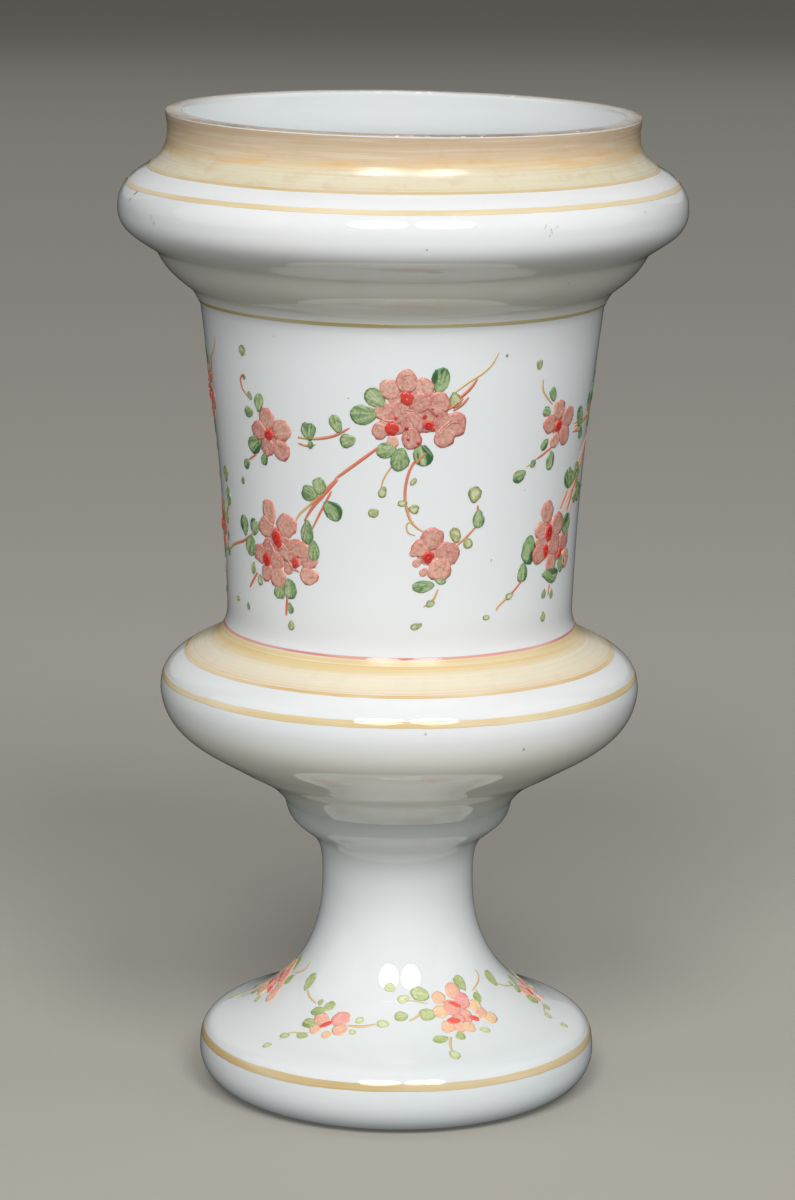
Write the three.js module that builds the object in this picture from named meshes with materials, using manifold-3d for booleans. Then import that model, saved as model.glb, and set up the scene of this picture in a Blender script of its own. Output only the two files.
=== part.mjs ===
// Opaline glass vase on a pedestal foot, with fired enamel bands, lines and raised blossom sprays.
// Millimetres, +Z up. The origin is at the centre of the face that the vase stands on.
import * as THREE from 'three';
import { mergeVertices } from 'three/addons/utils/BufferGeometryUtils.js';
import Module from 'manifold-3d';

const wasm = await Module();
wasm.setup();

// Driving dimensions of the pedestal foot. Heights are above the table.
const footRadius = 56.6;
const footEdgeHeight = 10;
const footBrowRadius = 46.5;
const footBrowHeight = 21.2;
const restOuterRadius = 47;
const restWidth = 4.5;
const stemRadius = 21.5;
const stemWaistHeight = 60.5;
const stemTopRadius = 25;
const stemTopHeight = 73.4;
const footWall = 6;
const hollowShoulderInset = 9.6;
const stemBoreRadius = 9.5;
const stemBoreTop = 58;

// Driving dimensions of the fused ring between stem and bowl
const waferHeight = 10;
const waferTopRadius = 32.3;

// Driving dimensions of the bowl: each rise is measured from the feature below it.
const coneFilletRise = 10.8;
const coneFilletRadius = 46.6;
const coneRise = 21.8;
const bulgeRadius = 67.6;
const bulgeCrownRise = 12.2;
const bulgeBrowRadius = 57.4;
const drumFilletRise = 11.8;
const drumFootRadius = 48.6;
const drumLength = 85;
const drumTopRadius = 56.1;
const stepRise = 4.8;
const stepRadius = 58.8;
const ovoloRise = 10.5;
const ovoloRadius = 68.4;
const collarLowRise = 12.4;
const collarRadius = 79;
const collarHighRise = 9.4;
const collarBrowRadius = 73.1;
const neckFilletRise = 11.6;
const neckRadius = 65.2;
const lipRise = 5.2;
const lipRadius = 65.7;
const bowlWall = 4.5;
const bowlFloor = 8.5;
const floorInset = 18;

// Driving dimensions of the enamel bands and lines. A line's middle is set above the feature that
// it goes with, or below it where the number is negative.
const paintGap = 0.03;
const bandThickness = 0.2;
const lineThickness = 0.25;
const bareLipHeight = 1.8;
const bandToLineGap = 0.15;
const bandToPinkLineGap = 0.75;
const neckLine = { above: 1.3, width: 0.9 };
const collarLine = { above: 6.6, width: 1.6 };
const drumTopLine = { above: 1.9, width: 1.4 };
const pinkLine = { above: -5.4, width: 0.9 };
const shoulderLine = { above: -1.7, width: 0.9 };
const bulgeLine = { above: 4.5, width: 1.8 };
const footLine = { above: 4.7, width: 2.6 };

// Driving dimensions of the raised sprays. High ones hang below the drum's top, low ones stand
// above its foot, and the foot's stand above its brow. A brush gives a petal's reach from its
// heart and a leaf's size.
const reliefGap = 0.15;
const petalRelief = 0.6;
const heartRelief = 0.35;
const leafRelief = 0.45;
const petalCount = 5;
const drumBrush = { petal: 6.4, leaf: 6.5, leafWidth: 5 };
const footBrush = { petal: 5.2, leaf: 5.5, leafWidth: 3.8 };
const highSprayDrop = 23;
const highBlossomDrop = 31;
const lowSprayRise = 21;
const lowBlossomRise = 23.5;
const footSprayRise = 6.4;
const footBlossomRise = 4.1;

// Shares that give a petal and a leaf their outlines
const notchShare = 0.66;
const petalCrownShare = 0.64;
const leafRootShare = 0.55;
const leafCrownShare = 0.45;
const leafOutline = [
  { along: 0, across: 0 },
  { along: 0.3, across: 0.95 },
  { along: 0.7, across: 0.85 },
  { along: 1, across: 0 },
];

// How finely the round forms are stepped
const turns = 36;

// Finishes
const glassFinish = { color: 0xeef1f0, roughness: 0.08, metalness: 0 };
const beigeFinish = { color: 0xdcc8a0, roughness: 0.4, metalness: 0 };
const ochreFinish = { color: 0xcda964, roughness: 0.35, metalness: 0 };
const pinkFinish = { color: 0xdf8f80, roughness: 0.35, metalness: 0 };
const blossomFinish = { color: 0xc98478, roughness: 0.35, metalness: 0 };
const paleBlossomFinish = { color: 0xe6b09c, roughness: 0.35, metalness: 0 };

const vase = new THREE.Group();
const point = (r, z) => new THREE.Vector2(r, z);
const radians = THREE.MathUtils.degToRad;

function heading(degrees) {
  return point(Math.cos(radians(degrees)), Math.sin(radians(degrees)));
}

// A smooth stretch of a wall's section. Headings are in degrees: 0 runs outward, 90 runs up.
// Pull says how far each end keeps its heading, as a share of the distance between the ends.
function stretch(from, leave, to, arrive, steps, pull = [0.4, 0.4]) {
  const reach = from.distanceTo(to);
  const afterStart = heading(leave).multiplyScalar(reach * pull[0]).add(from);
  const beforeEnd = heading(arrive).multiplyScalar(-reach * pull[1]).add(to);
  return new THREE.CubicBezierCurve(from, afterStart, beforeEnd, to).getPoints(steps);
}

// Joins stretches end to end and drops the repeated points where they meet.
function section(...stretches) {
  const points = stretches.flat();
  return points.filter((p, i) => i === 0 || p.distanceTo(points[i - 1]) > 1e-6);
}

// Vertices that coincide become one, so that the skin is closed.
function weld(geometry) {
  geometry.deleteAttribute('normal');
  geometry.deleteAttribute('uv');
  return mergeVertices(geometry, 1e-4);
}

// Turns a section round the vase's axis. The section runs anticlockwise with r to the right.
function turned(points) {
  const geometry = new THREE.LatheGeometry(points, turns);
  geometry.rotateX(Math.PI / 2);
  return weld(geometry);
}

function addPiece(name, geometry, finish) {
  geometry.computeVertexNormals();
  const piece = new THREE.Mesh(geometry, new THREE.MeshStandardMaterial(finish));
  piece.name = name;
  vase.add(piece);
}

// Pedestal foot: outer skin from the resting face up to the joint with the ring
const footSkin = section(
  stretch(point(restOuterRadius, 0), 5, point(footRadius, footEdgeHeight), 90, 4),
  stretch(point(footRadius, footEdgeHeight), 92, point(footBrowRadius, footBrowHeight), 157, 4, [0.46, 0.4]),
  stretch(point(footBrowRadius, footBrowHeight), 157, point(stemRadius, stemWaistHeight), 89, 7),
  stretch(point(stemRadius, stemWaistHeight), 90, point(stemTopRadius, stemTopHeight), 42, 3, [0.35, 0.35]),
);

// The hollow under the foot follows the skin at the foot's wall and narrows to a blind bore.
function footHollow() {
  const rest = point(restOuterRadius - restWidth, 0);
  const throat = point(stemBoreRadius, footBrowHeight + (stemBoreTop - footBrowHeight) / 2);
  const crown = point(0, stemBoreTop);
  const shoulder = point(footBrowRadius - hollowShoulderInset, footBrowHeight - footWall);
  return section(
    stretch(crown, 0, throat, 270, 3, [0.35, 0.6]),
    stretch(throat, 270, shoulder, 337, 4),
    stretch(shoulder, 337, rest, 280, 3),
  );
}

// Ring of glass fused between the stem and the bowl
const waferBase = stemTopHeight;
const bowlBase = waferBase + waferHeight;

function addWafer() {
  const foot = point(stemTopRadius, waferBase);
  const top = point(waferTopRadius, bowlBase);
  const rim = stretch(foot, 35, top, 80, 4, [0.48, 0.46]);
  addPiece('wafer', turned(section([point(0, waferBase)], rim, [point(0, bowlBase)])), glassFinish);
}

// Bowl: heights of its features above the table, added up from the rises
const coneFilletHeight = bowlBase + coneFilletRise;
const bulgeHeight = coneFilletHeight + coneRise;
const bulgeBrowHeight = bulgeHeight + bulgeCrownRise;
const drumFootHeight = bulgeBrowHeight + drumFilletRise;
const drumTopHeight = drumFootHeight + drumLength;
const stepHeight = drumTopHeight + stepRise;
const ovoloHeight = stepHeight + ovoloRise;
const collarHeight = ovoloHeight + collarLowRise;
const collarBrowHeight = collarHeight + collarHighRise;
const neckHeight = collarBrowHeight + neckFilletRise;
const lipHeight = neckHeight + lipRise;

const coneStart = point(coneFilletRadius, coneFilletHeight);
const bulgeWidest = point(bulgeRadius, bulgeHeight);
const bulgeBrow = point(bulgeBrowRadius, bulgeBrowHeight);
const drumFoot = point(drumFootRadius, drumFootHeight);
const drumTop = point(drumTopRadius, drumTopHeight);
const stepEdge = point(stepRadius, stepHeight);
const ovoloEdge = point(ovoloRadius, ovoloHeight);
const collarWidest = point(collarRadius, collarHeight);
const collarBrow = point(collarBrowRadius, collarBrowHeight);
const neckWaist = point(neckRadius, neckHeight);
const lipEdge = point(lipRadius, lipHeight);

const bowlSkin = section(
  stretch(point(waferTopRadius, bowlBase), 55, coneStart, 29, 3),
  stretch(coneStart, 32, bulgeWidest, 86, 6),
  stretch(bulgeWidest, 93, bulgeBrow, 152, 4, [0.38, 0.38]),
  stretch(bulgeBrow, 156, drumFoot, 89, 4, [0.46, 0.44]),
  stretch(drumFoot, 88, drumTop, 83, 3),
  stretch(drumTop, 68, stepEdge, 54, 1),
  stretch(stepEdge, 37, ovoloEdge, 64, 3),
  stretch(ovoloEdge, 36, collarWidest, 93, 5, [0.43, 0.42]),
  stretch(collarWidest, 88, collarBrow, 149, 4, [0.34, 0.35]),
  stretch(collarBrow, 152, neckWaist, 91, 4, [0.45, 0.41]),
  stretch(neckWaist, 91, lipEdge, 87, 1),
);

// The inner wall follows the main forms of the skin, softened as blown glass is.
function bowlHollow() {
  const lip = point(lipRadius - bowlWall, lipHeight);
  const neck = point(neckRadius - bowlWall, neckHeight - bowlWall);
  const collar = point(collarRadius - bowlWall, collarHeight);
  const drumHigh = point(drumTopRadius - bowlWall, drumTopHeight);
  const drumLow = point(drumFootRadius - bowlWall, drumFootHeight);
  const bulge = point(bulgeRadius - bowlWall, bulgeHeight + bowlWall / 2);
  const floorHeight = bowlBase + bowlFloor;
  const floorEdge = point(coneFilletRadius - floorInset, floorHeight + bowlWall / 2);
  return section(
    [lip],
    stretch(neck, 270, collar, 275, 4, [0.55, 0.3]),
    stretch(collar, 265, drumHigh, 262, 4, [0.35, 0.45]),
    [drumLow],
    stretch(drumLow, 272, bulge, 280, 3, [0.5, 0.35]),
    stretch(bulge, 262, floorEdge, 205, 4, [0.35, 0.4]),
    stretch(floorEdge, 205, point(0, floorHeight), 180, 2),
  );
}

function addGlass() {
  const footSection = section(footHollow(), footSkin, [point(0, stemTopHeight)]);
  addPiece('pedestal_foot', turned(footSection), glassFinish);
  addWafer();
  addPiece('bowl', turned(section([point(0, bowlBase)], bowlSkin, bowlHollow())), glassFinish);
}

// Enamel bands and lines

// The part of a wall's section between two heights, with its own corners kept.
function between(wall, low, high) {
  const cut = (height) => {
    const i = wall.findIndex((p) => p.y > height);
    const [a, b] = [wall[i - 1], wall[i]];
    return a.clone().lerp(b, (height - a.y) / (b.y - a.y));
  };
  return [cut(low), ...wall.filter((p) => p.y > low && p.y < high), cut(high)];
}

// Outward direction at each corner of a section that runs up the outside of a wall
function outward(points) {
  return points.map((p, i) => {
    const before = points[Math.max(i - 1, 0)];
    const after = points[Math.min(i + 1, points.length - 1)];
    const along = after.clone().sub(before).normalize();
    return point(along.y, -along.x);
  });
}

// A coat of enamel on a wall between two heights. It thins out to nothing at both edges.
function addCoat(name, wall, low, high, thickness, finish) {
  const path = between(wall, low, high);
  const normals = outward(path);
  const lifted = (i, lift) => path[i].clone().addScaledVector(normals[i], lift);
  const under = path.map((p, i) => lifted(i, paintGap));
  let crest = path.map((p, i) => lifted(i, paintGap + thickness)).slice(1, -1);
  if (crest.length === 0) {
    crest = [under[0].clone().lerp(under[1], 0.5).addScaledVector(normals[0], thickness)];
  }
  const downUnder = under.toReversed();
  addPiece(name, turned([...downUnder, ...crest, downUnder[0].clone()]), finish);
}

function addLine(name, wall, feature, { above, width }, finish) {
  const middle = feature + above;
  addCoat(name, wall, middle - width / 2, middle + width / 2, lineThickness, finish);
}

function addCoats() {
  const topOf = (feature, { above, width }) => feature + above + width / 2;
  const neckBandFoot = topOf(collarBrowHeight, neckLine) + bandToLineGap;
  const shoulderBandFoot = topOf(bulgeBrowHeight, shoulderLine) + bandToLineGap;
  const shoulderBandTop = topOf(drumFootHeight, pinkLine) - pinkLine.width - bandToPinkLineGap;
  addCoat('neck_band', bowlSkin, neckBandFoot, lipHeight - bareLipHeight, bandThickness, beigeFinish);
  addLine('neck_band_line', bowlSkin, collarBrowHeight, neckLine, ochreFinish);
  addLine('collar_line', bowlSkin, collarHeight, collarLine, ochreFinish);
  addLine('drum_top_line', bowlSkin, drumTopHeight, drumTopLine, ochreFinish);
  addLine('shoulder_pink_line', bowlSkin, drumFootHeight, pinkLine, pinkFinish);
  addCoat('shoulder_band', bowlSkin, shoulderBandFoot, shoulderBandTop, bandThickness, beigeFinish);
  addLine('shoulder_band_line', bowlSkin, bulgeBrowHeight, shoulderLine, ochreFinish);
  addLine('bulge_line', bowlSkin, bulgeHeight, bulgeLine, ochreFinish);
  addLine('foot_line', footSkin, footEdgeHeight, footLine, ochreFinish);
}

// Raised enamel sprays. Each is modelled flat, u to the right, v up the wall and w out of it,
// and then laid on the wall.

function flatSolid(vertices, faces) {
  return new wasm.Manifold(new wasm.Mesh({
    numProp: 3,
    vertProperties: new Float32Array(vertices.flat()),
    triVerts: new Uint32Array(faces.flat()),
    faceID: new Uint32Array(faces.map((face, i) => i)),
  }));
}

// A blossom: round petals, each crowned in its middle, about a lower heart.
function blossomSolid([u, v], reach, turn) {
  const vertices = [];
  const faces = [];
  const place = (degrees, radius, w) => {
    const a = radians(turn + degrees);
    vertices.push([u + radius * Math.cos(a), v + radius * Math.sin(a), w]);
  };
  const petalAngle = 360 / petalCount;
  const rimCount = petalCount * 3;
  for (let k = 0; k < petalCount; k += 1) {
    const axis = k * petalAngle;
    place(axis - petalAngle / 2, reach * notchShare, 0);
    place(axis - petalAngle / 4, reach, 0);
    place(axis + petalAngle / 4, reach, 0);
  }
  for (let k = 0; k < petalCount; k += 1) {
    place(k * petalAngle, reach * petalCrownShare, petalRelief);
  }
  const heart = vertices.length;
  vertices.push([u, v, heartRelief]);
  const base = heart + 1;
  vertices.push([u, v, 0]);
  for (let k = 0; k < petalCount; k += 1) {
    const [notch, left, right] = [3 * k, 3 * k + 1, 3 * k + 2];
    const nextNotch = (3 * k + 3) % rimCount;
    const crown = rimCount + k;
    const nextCrown = rimCount + ((k + 1) % petalCount);
    faces.push([notch, left, crown], [left, right, crown], [right, nextNotch, crown]);
    faces.push([crown, nextNotch, heart], [nextNotch, nextCrown, heart]);
  }
  for (let i = 0; i < rimCount; i += 1) {
    faces.push([(i + 1) % rimCount, i, base]);
  }
  return flatSolid(vertices, faces);
}

// A leaf: a pointed oval with one crown. Its root is at the given place.
function leafSolid([u, v], degrees, length, width) {
  const a = radians(degrees);
  const spot = (along, across, w) => [
    u + along * Math.cos(a) - across * Math.sin(a),
    v + along * Math.sin(a) + across * Math.cos(a),
    w,
  ];
  const side = (outline, sign) => (
    outline.map(({ along, across }) => spot(along * length, sign * across * width / 2, 0))
  );
  const rim = [...side(leafOutline, -1), ...side(leafOutline.slice(1, -1), 1).reverse()];
  const crown = rim.length;
  const base = crown + 1;
  const middle = length * leafCrownShare;
  const vertices = [...rim, spot(middle, 0, leafRelief), spot(middle, 0, 0)];
  const faces = rim.flatMap((p, i) => {
    const next = (i + 1) % rim.length;
    return [[i, next, crown], [next, i, base]];
  });
  return flatSolid(vertices, faces);
}

// Blossom places are from the spray's middle, to the right and up, in petals of the brush. A leaf
// grows out from under the blossom that it names, at a heading. Sizes are shares of the brush's.
function spraySolid({ blossoms, leaves }, brush) {
  const placed = blossoms.map(({ at: [u, v], size, turn }) => (
    { u: u * brush.petal, v: v * brush.petal, reach: size * brush.petal, turn }
  ));
  const parts = placed.map(({ u, v, reach, turn }) => blossomSolid([u, v], reach, turn));
  for (const { under, away, length, width } of leaves) {
    const { u, v, reach } = placed[under];
    const root = reach * leafRootShare;
    const direction = radians(away);
    const from = [u + root * Math.cos(direction), v + root * Math.sin(direction)];
    parts.push(leafSolid(from, away, length * brush.leaf, width * brush.leafWidth));
  }
  return parts.reduce((whole, part) => whole.add(part));
}

// Gives places on a wall, by their distance up the wall from a middle height and their lift off it
function surfaceAround(wall, middleHeight) {
  const normals = outward(wall);
  const reached = [0];
  for (let i = 1; i < wall.length; i += 1) {
    reached.push(reached[i - 1] + wall[i].distanceTo(wall[i - 1]));
  }
  const above = wall.findIndex((p) => p.y > middleHeight);
  const [before, after] = [wall[above - 1], wall[above]];
  const climb = (middleHeight - before.y) / (after.y - before.y);
  const middle = reached[above - 1] + climb * before.distanceTo(after);
  return (distance, lift) => {
    const wanted = middle + distance;
    const i = reached.findIndex((d) => d > wanted);
    const share = (wanted - reached[i - 1]) / (reached[i] - reached[i - 1]);
    const spot = wall[i - 1].clone().lerp(wall[i], share);
    const normal = normals[i - 1].clone().lerp(normals[i], share).normalize();
    return spot.addScaledVector(normal, lift);
  };
}

// Lays a flat solid on a wall. Angle 0 faces -Y and angles grow towards +X.
function laidOn(surface, flat, degrees) {
  const mesh = flat.getMesh();
  const laid = [];
  for (let i = 0; i < mesh.vertProperties.length; i += mesh.numProp) {
    const [u, v, w] = mesh.vertProperties.slice(i, i + 3);
    const spot = surface(v, reliefGap + w);
    const angle = radians(degrees) + u / spot.x;
    laid.push(spot.x * Math.sin(angle), -spot.x * Math.cos(angle), spot.y);
  }
  const geometry = new THREE.BufferGeometry();
  geometry.setAttribute('position', new THREE.Float32BufferAttribute(laid, 3));
  geometry.setIndex([...mesh.triVerts]);
  return geometry;
}

const highSpray = {
  blossoms: [
    { at: [0, 0.78], size: 1.03, turn: 90 },
    { at: [-0.75, -0.56], size: 0.94, turn: 200 },
    { at: [1.19, -0.38], size: 1.03, turn: 10 },
  ],
  leaves: [
    { under: 0, away: 33, length: 1.08, width: 1 },
    { under: 0, away: 178, length: 0.92, width: 1 },
    { under: 1, away: 153, length: 1.08, width: 1.1 },
    { under: 1, away: 256, length: 0.92, width: 1 },
    { under: 1, away: 292, length: 1.08, width: 0.96 },
    { under: 2, away: 247, length: 1.08, width: 1 },
  ],
};

const lowSpray = {
  blossoms: [
    { at: [-0.08, 0.81], size: 1, turn: 110 },
    { at: [-0.81, -0.31], size: 0.97, turn: 215 },
    { at: [0.91, -0.28], size: 0.94, turn: 20 },
  ],
  leaves: [
    { under: 0, away: 170, length: 1, width: 0.96 },
    { under: 1, away: 157, length: 1.15, width: 1 },
    { under: 2, away: 68, length: 1.23, width: 0.8 },
    { under: 2, away: 35, length: 0.85, width: 0.72 },
    { under: 2, away: 250, length: 0.92, width: 1 },
    { under: 1, away: 300, length: 0.92, width: 0.8 },
  ],
};

const highBlossom = {
  blossoms: [{ at: [0.08, 0.08], size: 1.06, turn: 100 }],
  leaves: [
    { under: 0, away: 203, length: 1.15, width: 1 },
    { under: 0, away: 240, length: 0.77, width: 0.68 },
    { under: 0, away: 112, length: 1, width: 0.8 },
    { under: 0, away: 146, length: 1, width: 0.72 },
  ],
};

const lowBlossom = {
  blossoms: [{ at: [0.08, 0], size: 1.03, turn: 80 }],
  leaves: [
    { under: 0, away: 255, length: 0.92, width: 1 },
    { under: 0, away: 292, length: 0.69, width: 0.6 },
    { under: 0, away: 40, length: 0.92, width: 0.64 },
  ],
};

const footSpray = {
  blossoms: [
    { at: [-0.73, -0.35], size: 1, turn: 190 },
    { at: [0.65, -0.5], size: 1, turn: 340 },
    { at: [-0.15, 0.62], size: 1, turn: 95 },
  ],
  leaves: [
    { under: 0, away: 228, length: 1, width: 1 },
    { under: 0, away: 160, length: 1.27, width: 1.05 },
    { under: 2, away: 165, length: 1.27, width: 0.95 },
    { under: 2, away: 42, length: 1, width: 1 },
  ],
};

const footBlossom = {
  blossoms: [{ at: [0, 0], size: 0.96, turn: 55 }],
  leaves: [
    { under: 0, away: 226, length: 1, width: 0.9 },
    { under: 0, away: 185, length: 0.82, width: 1.05 },
    { under: 0, away: 145, length: 0.91, width: 1.05 },
    { under: 0, away: 112, length: 0.91, width: 0.95 },
  ],
};

// The sprays were painted by eye round the drum, so their steps round it are not quite even.
const drumSteps = [0, 97, 186, 265];
const footSteps = [0, 120, 240];

function addRound(name, spray, middleHeight, firstAngle, { wall, brush, steps, finish }) {
  const flat = spraySolid(spray, brush);
  const surface = surfaceAround(wall, middleHeight);
  steps.forEach((step, i) => {
    addPiece(`${name}_${i + 1}`, laidOn(surface, flat, firstAngle + step), finish);
  });
}

function addSprays() {
  const drum = { wall: bowlSkin, brush: drumBrush, steps: drumSteps, finish: blossomFinish };
  const foot = { wall: footSkin, brush: footBrush, steps: footSteps, finish: paleBlossomFinish };
  addRound('high_spray', highSpray, drumTopHeight - highSprayDrop, 2, drum);
  addRound('high_blossom', highBlossom, drumTopHeight - highBlossomDrop, -42.5, drum);
  addRound('low_spray', lowSpray, drumFootHeight + lowSprayRise, -42, drum);
  addRound('low_blossom', lowBlossom, drumFootHeight + lowBlossomRise, 9.5, drum);
  addRound('foot_spray', footSpray, footBrowHeight + footSprayRise, 33, foot);
  addRound('foot_blossom', footBlossom, footBrowHeight + footBlossomRise, -30.5, foot);
}

addGlass();
addCoats();
addSprays();

export default vase;
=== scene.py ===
# Opaline glass vase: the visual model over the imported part. Sections and motifs are in millimetres
# and degrees, and every mesh is in metres. Angle 0 faces the camera and angles grow to the right.
import math
import random
from bisect import bisect_right

import bmesh
import bpy
from mathutils import Matrix, Vector, geometry, noise


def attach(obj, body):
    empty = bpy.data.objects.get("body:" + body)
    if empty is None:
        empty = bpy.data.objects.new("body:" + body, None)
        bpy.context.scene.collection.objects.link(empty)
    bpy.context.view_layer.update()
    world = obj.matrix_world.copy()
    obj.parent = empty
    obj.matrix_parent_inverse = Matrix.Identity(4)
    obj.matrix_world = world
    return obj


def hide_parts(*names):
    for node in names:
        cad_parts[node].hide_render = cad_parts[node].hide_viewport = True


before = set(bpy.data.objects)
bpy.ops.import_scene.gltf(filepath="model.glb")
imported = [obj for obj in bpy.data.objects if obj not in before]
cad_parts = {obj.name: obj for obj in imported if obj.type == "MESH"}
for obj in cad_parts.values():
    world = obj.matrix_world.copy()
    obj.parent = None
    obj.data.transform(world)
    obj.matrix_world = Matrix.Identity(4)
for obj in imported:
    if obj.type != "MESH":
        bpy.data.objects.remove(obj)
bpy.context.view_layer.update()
mm = 0.001
print("frame loaded:", len(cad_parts), "nodes")


# Camera
camera = {
    "place": (-0.00068, -1.160, 0.3892),
    "pitch": 12.1,  # degrees down
    "roll": 0.46,
    "lens": 126,
    "sensor": 36,
}


def addCamera():
    pitch, roll = math.radians(camera["pitch"]), math.radians(camera["roll"])
    forward = Vector((0, math.cos(pitch), -math.sin(pitch)))
    upright = Vector((0, math.sin(pitch), math.cos(pitch)))
    right = Vector((math.cos(roll), 0, 0)) + upright * math.sin(roll)
    up = Vector((-math.sin(roll), 0, 0)) + upright * math.cos(roll)
    data = bpy.data.cameras.new("photoCamera")
    data.lens = camera["lens"]
    data.sensor_width = camera["sensor"]
    shown = bpy.data.objects.new("photoCamera", data)
    turn = Matrix((right, up, -forward)).transposed()
    shown.matrix_world = Matrix.Translation(camera["place"]) @ turn.to_4x4()
    bpy.context.scene.collection.objects.link(shown)
    bpy.context.scene.camera = shown


# Sections of the walls. A stretch has its start, the heading it leaves with, its end, the heading it
# arrives with and how far each end keeps its heading.
evenPull = (0.4, 0.4)
pedestalFoot = {
    "skin": [
        ((47, 0), 5, (56.6, 10), 90, evenPull),
        ((56.6, 10), 90, (46.5, 21.2), 157, (0.58, 0.4)),
        ((46.5, 21.2), 157, (21.5, 60.5), 89, evenPull),
        ((21.5, 60.5), 90, (25, 73.4), 39, (0.35, 0.35)),
    ],
    "hollow": [
        ((0, 58), 0, (9.5, 39.6), 270, (0.35, 0.6)),
        ((9.5, 39.6), 270, (36.9, 15.2), 337, evenPull),
        ((36.9, 15.2), 337, (42.5, 0), 280, evenPull),
    ],
    "top": 73.4,
}
wafer = {
    "skin": [((25, 73.4), 38, (32.3, 83.4), 80, (0.48, 0.46))],
    "bottom": 73.4,
    "top": 83.4,
}
bowl = {
    "skin": [
        ((32.3, 83.4), 55, (46.6, 94.2), 29, evenPull),
        ((46.6, 94.2), 32, (67.6, 116), 86, evenPull),
        ((67.6, 116), 90, (57.4, 128.2), 152, (0.46, 0.38)),
        ((57.4, 128.2), 156, (48.6, 140), 89, (0.46, 0.44)),
        ((48.6, 140), 88, (56.1, 225), 83, evenPull),
        ((56.1, 225), 68, (58.8, 229.8), 54, evenPull),
        ((58.8, 229.8), 37, (68.4, 240.3), 64, evenPull),
        ((68.4, 240.3), 36, (79, 252.7), 93, (0.43, 0.42)),
        ((79, 252.7), 88, (73.1, 262.1), 149, (0.34, 0.35)),
        ((73.1, 262.1), 152, (65.2, 273.7), 91, (0.45, 0.41)),
        ((65.2, 273.7), 91, (65.7, 278.4), 87, evenPull),
        ((65.7, 278.4), 95, (65.2, 278.9), 175, evenPull),
    ],
    "hollow": [
        ((61.7, 278.9), 185, (61.2, 278.4), 265, evenPull),
        ((61.2, 278.4), 267, (60.7, 269.2), 270, evenPull),
        ((60.7, 269.2), 270, (74.5, 252.7), 275, (0.55, 0.3)),
        ((74.5, 252.7), 265, (51.6, 225), 262, (0.35, 0.45)),
        ((51.6, 225), 265, (44.1, 140), 265, evenPull),
        ((44.1, 140), 272, (63.1, 118.3), 280, (0.5, 0.35)),
        ((63.1, 118.3), 262, (28.6, 94.2), 205, (0.35, 0.4)),
        ((28.6, 94.2), 205, (0, 91.9), 180, evenPull),
    ],
    "bottom": 83.4,
    "groundFrom": 278.45,
    "innerFrom": 2,  # glass this far in from the skin is the inside
}
glassStep = 0.95  # longest step of a section, in mm
wallStep = 0.35  # the same where enamel is laid on it
glassTurns = 180


def heading(degrees):
    return Vector((math.cos(math.radians(degrees)), math.sin(math.radians(degrees))))


def sectionOf(stretches, step=glassStep):
    points = []
    for start, leave, end, arrive, pull in stretches:
        start, end = Vector(start), Vector(end)
        reach = (end - start).length
        handle = start + heading(leave) * reach * pull[0]
        otherHandle = end - heading(arrive) * reach * pull[1]
        count = max(3, math.ceil(reach / step) + 1)
        for p in geometry.interpolate_bezier(start, handle, otherHandle, end, count):
            if not points or (p - points[-1]).length > 1e-4:
                points.append(p)
    return points


class Wall:  # an outer skin that enamel is laid on
    def __init__(self, stretches, relief):
        self.relief = relief  # how proud the enamel stands, 1 on the drum
        self.points = sectionOf(stretches, wallStep)
        self.heights = [p.y for p in self.points]
        self.reached = [0]
        for a, b in zip(self.points, self.points[1:]):
            self.reached.append(self.reached[-1] + (b - a).length)
        self.normals = []
        for i in range(len(self.points)):
            before, after = self.points[max(i - 1, 0)], self.points[min(i + 1, len(self.points) - 1)]
            along = (after - before).normalized()
            self.normals.append(Vector((along.y, -along.x)))

    def along(self, height):  # distance up the wall at a height
        return self.between(self.heights, self.reached, height)

    def between(self, keys, values, key):
        i = min(max(bisect_right(keys, key), 1), len(keys) - 1)
        share = (key - keys[i - 1]) / (keys[i] - keys[i - 1])
        return values[i - 1] + (values[i] - values[i - 1]) * share

    def radiusAt(self, height):
        return self.between(self.heights, self.points, height).x

    def spot(self, distance, lift):  # radius and height, off the wall by the lift
        place = self.between(self.reached, self.points, distance)
        out = self.between(self.reached, self.normals, distance).normalized()
        return place + out * lift

    def lay(self, degrees, distance, across, lift):  # a place in metres
        r, z = self.spot(distance, lift)
        angle = math.radians(degrees) + across / r
        return Vector((r * math.sin(angle), -r * math.cos(angle), z)) * mm

    def heightAtRadius(self, radius):  # on the foot's upper slope
        top = max(range(len(self.points)), key=lambda i: self.points[i].x)
        rising = self.points[top:]
        return self.between([-p.x for p in rising], [p.y for p in rising], -radius)


footWall = Wall(pedestalFoot["skin"], 0.4)
bowlWall = Wall(bowl["skin"], 1.0)


# Shader nodes
def rgb(red, green, blue):  # 0 to 255 as seen, to the light that a shader works in
    shades = [c / 255 for c in (red, green, blue)]
    return tuple(c / 12.92 if c <= 0.04045 else ((c + 0.055) / 1.055) ** 2.4 for c in shades) + (1.0,)


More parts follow.
